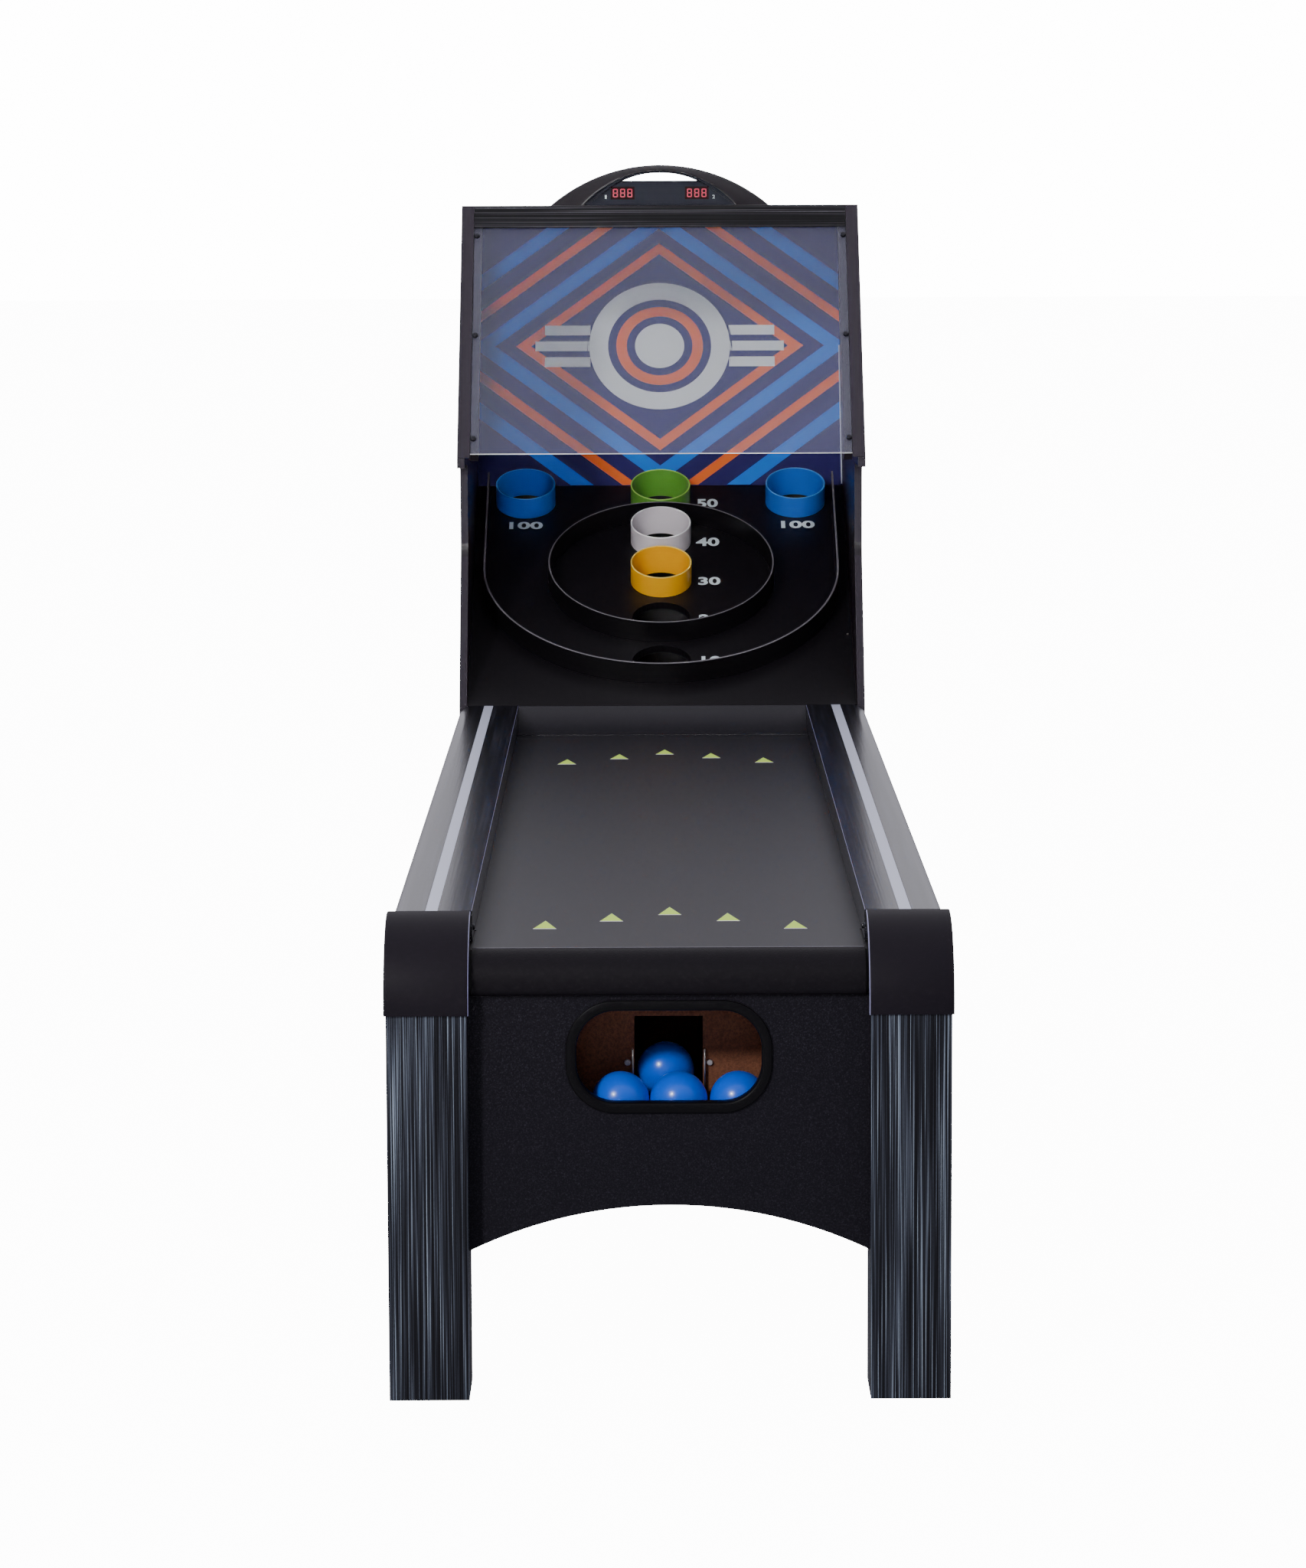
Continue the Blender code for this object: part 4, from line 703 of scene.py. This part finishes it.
def backboard_print():
    """Generic print: nested lozenges round a target of pale rings, with bars in the corners."""
    frame_of, length, half = backboard_matrix()
    middle = 0.262

    def film(name, bm, colour, layer):
        """A flat film clipped to the board, raised, and laid over the films below it."""
        margins = (((half, 0, 0), (1, 0, 0)), ((-half, 0, 0), (-1, 0, 0)),
                   ((0, length - 0.001, 0), (0, 1, 0)), ((0, 0.001, 0), (0, -1, 0)))
        for point, way in margins:
            geom = bm.verts[:] + bm.edges[:] + bm.faces[:]
            bmesh.ops.bisect_plane(bm, geom=geom, plane_co=point, plane_no=way, clear_outer=True, dist=1e-7)
        raised = bmesh.ops.extrude_face_region(bm, geom=bm.faces[:])
        moved = [item for item in raised["geom"] if isinstance(item, bmesh.types.BMVert)]
        bmesh.ops.translate(bm, vec=(0.0, 0.0, HAIR), verts=moved)
        bmesh.ops.recalc_face_normals(bm, faces=bm.faces)
        placed(bm, frame_of @ Matrix.Translation((0.0, 0.0, HAIR * (1 + 2 * layer))))
        dress(name, bm, colour, smooth=False)

    def band(name, colour, points, wide, layer, closed=False):
        """A stripe of one width along a bent line, mitred at its corners."""
        pts = [Vector(point) for point in points]
        left, right = [], []
        for i, here in enumerate(pts):
            before = (here - pts[i - 1]).normalized() if i or closed else (pts[1] - here).normalized()
            after = (pts[(i + 1) % len(pts)] - here).normalized() if i + 1 < len(pts) or closed else before
            mean = (before + after).normalized()
            side = Vector((-mean.y, mean.x))
            reach = wide / 2 / max(0.3, side.dot(Vector((-before.y, before.x))))
            left.append(here + side * reach)
            right.append(here - side * reach)
        bm = bmesh.new()
        rows = [[bm.verts.new((p.x, p.y, 0.0)) for p in row] for row in (left, right)]
        for i in range(len(pts) if closed else len(pts) - 1):
            j = (i + 1) % len(pts)
            bm.faces.new((rows[0][i], rows[0][j], rows[1][j], rows[1][i]))
        film(name, bm, colour, layer)

    def lozenge(reach, rise):
        return [(-reach, middle), (0.0, middle + rise), (reach, middle), (0.0, middle - rise)]

    def ring(name, colour, outer, inner, layer):
        """A flat ring, or a disc where its inner radius is nothing."""
        bm = bmesh.new()
        bmesh.ops.create_circle(bm, cap_ends=True, radius=outer, segments=96)
        if inner:
            face = bm.faces[:][0]
            bmesh.ops.inset_region(bm, faces=[face], thickness=outer - inner, use_boundary=True,
                                   use_even_offset=True)
            bmesh.ops.delete(bm, geom=[face], context="FACES_ONLY")
        bmesh.ops.translate(bm, vec=(0.0, middle, 0.0), verts=bm.verts)
        film(name, bm, colour, layer)

    blue, orange, grey, navy = "print_blue", "print_orange", "print_grey", "print_navy"
    narrow, broad = 0.0165, 0.0245
    band("print_lozenge_1", orange, lozenge(0.232, 0.186), narrow, 0, closed=True)
    band("print_lozenge_2", blue, lozenge(0.300, 0.2405), broad, 0, closed=True)
    for index, (sx, sy) in enumerate(((-1, 1), (1, 1), (-1, -1), (1, -1))):
        band(f"print_corner_orange_{index + 1}", orange,
             [(sx * 0.36, middle + sy * 0.013), (sx * 0.04, middle + sy * 0.2696)], narrow, 0)
        band(f"print_corner_blue_{index + 1}", blue,
             [(sx * 0.36, middle + sy * 0.078), (sx * 0.10, middle + sy * 0.2865)], broad, 0)
    for index, sx in enumerate((-1, 1)):
        for row, (y, reach) in enumerate(((0.030, 0.196), (0.0, 0.212), (-0.030, 0.196))):
            band(f"print_dash_{index + 1}_{row + 1}", grey,
                 [(sx * 0.118, middle + y), (sx * reach, middle + y)], 0.0185, 1)
    ring("print_ring_edge", navy, 0.124, 0.0, 1)
    ring("print_ring_outer", grey, 0.120, 0.088, 2)
    ring("print_ring_middle", orange, 0.074, 0.056, 2)
    ring("print_ring_inner", grey, 0.042, 0.0, 2)

    # Painted highlight: a thin pale strip, in the inlay's colour, down the lower part of the board's right
    # edge.
    strip = block((half - 0.0022, 0.002, HAIR), (half - 0.0002, 0.262, 0.0012))
    dress("board_edge_trim", placed(strip, frame_of), "inlay_strip", smooth=False)


def slope_matrix():
    """From the canopy slope's own frame, X across and Y up the slope, to the table."""
    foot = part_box("canopy_side_left")[0]
    rise = math.atan2(0.3885, 0.310)
    return Matrix.Translation((0.0, foot.y, foot.z)) @ Matrix.Rotation(rise, 4, "X")


def edge_bands():
    """Banding on the front edges of the cabinet's and the canopy's sides."""
    slope = slope_matrix()
    for side, sign in (("left", -1), ("right", 1)):
        low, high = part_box(f"cabinet_side_{side}")
        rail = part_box(f"rail_{side}")[1].z
        nose, front, throat = low.y - HAIR, low.y + 0.010 - HAIR, low.y + 0.130 - HAIR
        knee, under = 0.790, high.z - 0.015
        path = [(front, low.z), (front, rail), (throat, knee), (throat, under), (nose, under), (nose, high.z)]
        bm = bmesh.new()
        rows = [[bm.verts.new((x, y, z)) for y, z in path] for x in (low.x, high.x)]
        for i in range(len(path) - 1):
            bm.faces.new((rows[0][i], rows[0][i + 1], rows[1][i + 1], rows[1][i]))
        for height, reach in ((knee, 0.01917), (under, 0.024)):
            bends = [edge for edge in bm.edges if edge.calc_face_angle(0.0) > 0.1
                     and abs((edge.verts[0].co.z + edge.verts[1].co.z) / 2 - height) < 0.001
                     and abs(edge.verts[0].co.y - throat) < 0.001]
            bmesh.ops.bevel(bm, geom=bends, offset=reach, segments=10, profile=0.5, affect="EDGES",
                            material=-1)
        bmesh.ops.recalc_face_normals(bm, faces=bm.faces)
        if sum(face.normal.y for face in bm.faces) > 0:
            bmesh.ops.reverse_faces(bm, faces=bm.faces)
        bmesh.ops.solidify(bm, geom=bm.faces[:], thickness=-0.0004)
        bmesh.ops.recalc_face_normals(bm, faces=bm.faces)
        dress(f"cabinet_banding_{side}", bm, "edge_banding", smooth=False)
        near, far = sorted((sign * 0.3002, sign * 0.3198))
        lip = block((near, 0.0006, HAIR), (far, 0.4965, 0.0005))
        dress(f"canopy_banding_{side}", placed(lip, slope), "edge_banding", smooth=False)


def header():
    """Grained header board with eased front edges."""
    low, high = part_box("header_board")
    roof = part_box("roof_panel")[0].z
    start = low.y
    ledge = 0.022
    outline = [(start, low.z), (start + ledge, low.z), (high.y, roof), (high.y, high.z),
               (high.y - ledge, high.z)]
    bm = flat_shape([(low.x, y, z) for y, z in outline], high.x - low.x, (1.0, 0.0, 0.0))
    ease(bm, 0.0013, lambda p: abs(p.x) < 0.001 and p.y < high.y - 0.020
         and (p.z > high.z - 0.001 or p.y < start + 0.001), 3)
    dress("header_rail", bm, "header_foil", ["header_board"])


def shield_edge():
    """Painted highlight: a white strip along the lower cut edge of the clear sheet."""
    low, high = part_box("shield")
    bm = block((low.x, low.y, low.z - 0.0006), (high.x, low.y + 0.0024, low.z + 0.0006))
    dress("shield_cut_edge", bm, "sheet_edge", smooth=False)


def pan_screw(name, place, out, radius=0.0036, height=0.0020, material="black_screw"):
    """A pan-head screw with a crossed recess, standing out of a face."""
    profile = [(0.0, 0.0), (radius, 0.0), (radius, height * 0.35), (radius * 0.86, height * 0.8),
               (radius * 0.55, height), (0.0, height)]
    bm = bmesh.new()
    points = [bm.verts.new((r, 0.0, z)) for r, z in profile]
    wires = [bm.edges.new((points[i], points[i + 1])) for i in range(len(points) - 1)]
    bmesh.ops.spin(bm, geom=points + wires, cent=(0.0, 0.0, 0.0), axis=(0.0, 0.0, 1.0), angle=math.tau,
                   steps=20, use_merge=True)
    bmesh.ops.remove_doubles(bm, verts=bm.verts, dist=0.00001)
    long, wide = radius * 0.55, radius * 0.11
    for turn in (0.0, math.pi / 2):
        arm = block((-long, -wide, height * 1.001), (long, wide, height * 1.02))
        placed(arm, Matrix.Rotation(turn, 4, "Z"))
        scratch = bpy.data.meshes.new("scratch")
        arm.to_mesh(scratch)
        bm.from_mesh(scratch)
        bpy.data.meshes.remove(scratch)
        arm.free()
    bmesh.ops.recalc_face_normals(bm, faces=bm.faces)
    turn = Vector(out).to_track_quat("Z", "Y").to_matrix().to_4x4()
    placed(bm, Matrix.Translation(place) @ turn)
    return dress(name, bm, material)


def fixings():
    """Screws down each edge of the clear sheet, in the rails behind the caps and in the target board."""
    slope = slope_matrix()
    out = slope.to_3x3() @ Vector((0.0, 0.0, 1.0))
    for side, sign in (("left", -1), ("right", 1)):
        for index, share in enumerate((0.061, 0.519, 0.971)):
            place = slope @ Vector((sign * 0.2950, 0.012 + share * 0.4385, -0.0024))
            pan_screw(f"shield_screw_{side}_{index + 1}", place, out, 0.0047, 0.0038)
        rail_low, rail_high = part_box(f"rail_{side}")
        inner = rail_high.x if sign < 0 else rail_low.x
        pan_screw(f"rail_screw_{side}", (inner, FRONT + 0.122, 0.5315), (-sign, 0.0, 0.0), 0.0036, 0.0026)
    pan_screw("apron_screw", (-0.2236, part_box("front_apron")[0].y, 0.4520), (0.0, -1.0, 0.0), 0.0017, 0.0012)
    pan_screw("board_screw", BOARD @ Vector((0.3000, 0.2022, 0.0)), BOARD.to_3x3() @ Vector((0.0, 0.0, 1.0)),
              0.0021, 0.0014, "bright_steel")


# Scoreboard

def segment_wire(bm, half, base, crown, y, steps=64):
    """A circle's segment on a straight base, standing in the XZ plane, as a loop of edges."""
    sagitta = crown - base
    radius = (half ** 2 + sagitta ** 2) / (2 * sagitta)
    reach = math.asin(min(1.0, half / radius))
    centre = Vector((0.0, y, crown - radius))
    first = bm.verts.new(centre + Vector((-math.sin(reach) * radius, 0.0, math.cos(reach) * radius)))
    turned = bmesh.ops.spin(bm, geom=[first], cent=centre, axis=(0.0, 1.0, 0.0), angle=2 * reach, steps=steps)
    last = [item for item in turned["geom_last"] if isinstance(item, bmesh.types.BMVert)][0]
    base_edge = bm.edges.new((last, first))
    wires = [base_edge]
    here = first
    while here is not last:
        nxt = [edge for edge in here.link_edges if edge is not base_edge and edge not in wires]
        wires.append(nxt[0])
        here = nxt[0].other_vert(here)
    return wires


def scoreboard():
    """Arched housing: gloss band, dark recessed face, displays with lit figures."""
    low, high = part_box("scoreboard_housing")
    base, front, back = low.z, low.y, high.y
    top, foot_half = high.z, high.x
    rim, rim_top = 0.139, base + 0.073
    face, face_top, sill = 0.132, base + 0.071, base + 0.005
    slot_floor, slot_crown, slot_half = base + 0.0542, base + 0.0672, 0.065
    floor = front + 0.006
    outside = [
        (foot_half, base, top, back), (foot_half, base, top, front + 0.0145),
        (foot_half - 0.0022, base, top - 0.0012, front + 0.0125),
        (rim + 0.0015, base, rim_top + 0.0010, front + 0.0006),
        (rim, base, rim_top, front), (face + 0.0005, sill, face_top + 0.0004, front),
        (face, sill, face_top, front + 0.0008), (face, sill, face_top, floor),
    ]
    hole = [(slot_half, slot_floor, slot_crown, floor), (slot_half, slot_floor, slot_crown, back)]
    bm = bmesh.new()
    loops = [segment_wire(bm, *station) for station in outside + hole]
    for first, second in zip(loops, loops[1:]):
        bmesh.ops.bridge_loops(bm, edges=first + second)
    bmesh.ops.bridge_loops(bm, edges=loops[-1] + loops[0])
    bmesh.ops.recalc_face_normals(bm, faces=bm.faces)
    housing = dress("scoreboard_shell", bm, "gloss_abs", ["scoreboard_housing"])
    housing.data.materials.append(FINISH["scoreboard_face"])
    for polygon in housing.data.polygons:
        if abs(polygon.center.y - floor) < 0.0004 and abs(polygon.normal.y) > 0.9:
            polygon.material_index = 1
    display_figures(floor)


def display_figures(floor):
    """Three lit seven-bar eights on each display, and a plain 1 and 2 beside them."""
    stand = Matrix.Rotation(math.pi / 2, 4, "X")
    for side, sign, label in (("left", -1, "1"), ("right", 1, "2")):
        low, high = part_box(f"score_display_{side}")
        middle = (low + high) / 2
        wide, tall, bar = 0.0080, 0.0138, 0.0017
        y = low.y - HAIR
        for digit in range(3):
            x = middle.x + (digit - 1) * 0.0118
            bars = []
            for level in (-1, 0, 1):
                z = middle.z + level * (tall - bar) / 2
                bars.append((x - wide / 2 + bar * 0.75, z - bar / 2, x + wide / 2 - bar * 0.75, z + bar / 2))
            for edge in (-1, 1):
                post = x + edge * (wide - bar) / 2
                bars.append((post - bar / 2, middle.z + 0.0004, post + bar / 2, middle.z + tall / 2 - 0.0006))
                bars.append((post - bar / 2, middle.z - tall / 2 + 0.0006, post + bar / 2, middle.z - 0.0004))
            for index, (x0, z0, x1, z1) in enumerate(bars):
                dress(f"figure_{side}_{digit + 1}_{index + 1}", block((x0, y - SHOWING_INK, z0), (x1, y, z1)),
                      "lit_segment", smooth=False)
        place = Matrix.Translation((middle.x + sign * 0.0275, floor, middle.z - 0.0062)) @ stand
        broad = 0.0028 if label == "1" else 0.0040
        figure(f"player_number_{side}", label, place, broad, 0.0060, 0.02, "number_ink")


# Studio

def studio():
    """Pale floor, a room bright above and ahead and dim behind the camera, and two softboxes."""
    scene = bpy.context.scene
    bm = bmesh.new()
    bmesh.ops.create_grid(bm, x_segments=1, y_segments=1, size=40.0)
    made, tree, shader = plain("studio_floor", "#b4b4b8", 0.8, Emission_Color=linear("#ffffff"))
    seen = add(tree, "ShaderNodeLightPath").outputs["Is Camera Ray"]
    glow = add(tree, "ShaderNodeMath", {0: seen, 1: 13.0}, operation="MULTIPLY")
    tree.links.new(glow.outputs[0], shader.inputs["Emission Strength"])
    FINISH["studio_floor"] = made
    finished("studio_floor", bm, "studio_floor")

    world = bpy.data.worlds.new("studio_surroundings")
    scene.world = world
    world.use_nodes = True
    tree = world.node_tree
    way = add(tree, "ShaderNodeTexCoord").outputs["Generated"]
    height = add(tree, "ShaderNodeVectorMath", {0: way, 1: (0.0, 0.55, 0.83)}, operation="DOT_PRODUCT")
    share = add(tree, "ShaderNodeMapRange",
                {"Value": height.outputs["Value"], "From Min": -0.55, "From Max": 1.0})
    tone = ramp(tree, share.outputs["Result"],
                [(0.0, "#2c2a30"), (0.355, "#8f8c97"), (0.677, "#e2e0ec"), (1.0, "#f9f8ff")])
    room = tree.nodes["Background"]
    tree.links.new(tone, room.inputs["Color"])
    room.inputs["Strength"].default_value = 1.1
    backdrop = add(tree, "ShaderNodeBackground", {"Color": linear("#ffffff"), "Strength": 15.0})
    seen = add(tree, "ShaderNodeLightPath").outputs["Is Camera Ray"]
    both = add(tree, "ShaderNodeMixShader", {0: seen, 1: room.outputs[0], 2: backdrop.outputs[0]})
    tree.links.new(both.outputs[0], tree.nodes["World Output"].inputs["Surface"])

    def soft_light(name, place, target, wide, tall, power, spread=math.pi):
        """A rectangular softbox that looks at a point, with a grid that narrows it where asked."""
        data = bpy.data.lights.new(name, "AREA")
        data.shape = "RECTANGLE"
        data.size, data.size_y = wide, tall
        data.energy = power
        data.spread = spread
        light = bpy.data.objects.new(name, data)
        scene.collection.objects.link(light)
        light.location = place
        light.rotation_mode = "QUATERNION"
        light.rotation_quaternion = (Vector(target) - Vector(place)).to_track_quat("-Z", "Y")

    soft_light("key_softbox", (-2.9, FRONT - 4.4, 3.6), (0.0, 0.0, 0.6), 0.6, 0.6, 270.0)
    soft_light("head_softbox", (-0.4, FRONT - 6.0, 1.45), (0.0, 1.3, 1.2), 0.5, 0.5, 2.4, math.radians(16.0))


def camera():
    """The photograph's viewpoint."""
    data = bpy.data.cameras.new("photo_camera")
    data.lens = CAMERA_LENS
    data.sensor_width = 36.0
    data.clip_end = 100.0
    made = bpy.data.objects.new("photo_camera", data)
    bpy.context.scene.collection.objects.link(made)
    tilt = Matrix.Rotation(math.pi / 2 - CAMERA_PITCH, 4, "X") @ Matrix.Rotation(CAMERA_ROLL, 4, "Z")
    made.matrix_world = Matrix.Translation(CAMERA_PLACE) @ Matrix.Rotation(CAMERA_YAW, 4, "Z") @ tilt
    bpy.context.scene.camera = made


SOLID_FINISHES = {
    "leg_laminate": ["front_leg_left", "front_leg_right", "rear_leg_left", "rear_leg_right"],
    "apron_foil": ["front_apron"],
    "cabinet_laminate": ["side_apron_left", "side_apron_right", "cabinet_side_left", "cabinet_side_right",
                         "canopy_side_left", "canopy_side_right", "roof_panel", "back_panel",
                         "cabinet_cross_board", "shield_cleat_left", "shield_cleat_right"],
    "inlay_strip": ["rail_inlay_left", "rail_inlay_right"],
    "lane_print": ["lane_board"],
    "raw_fibreboard": ["ball_box", "return_trough", "catch_tray", "lane_batten_left", "lane_batten_right"],
    "target_paint": ["target_board"],
    "print_navy": ["backboard"],
    "clear_sheet": ["shield"],
    "display_window": ["score_display_left", "score_display_right"],
    "sensor_plastic": ["sensor_frame"],
    "moulded_abs": ["battery_door"],
    "button_grey": ["power_button", "reset_button"],
}


def finish_solids():
    """Give each solid that stays visible its finish."""
    chosen = {node: finish for finish, names in SOLID_FINISHES.items() for node in names}
    for name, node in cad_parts.items():
        finish = "sensor_plastic" if name.startswith("score_lever") else chosen.get(name)
        if finish:
            for slot in node.material_slots:
                slot.material = FINISH[finish]


camera()
finish_solids()
corner_caps()
front_roll()
rails()
lane_sheet()
lane_marks()
ramp_piece()
window_bezel()
trough_clips()
trough_cheeks()
balls()
fences()
cups()
numbers()
backboard_print()
edge_bands()
header()
shield_edge()
fixings()
scoreboard()
studio()
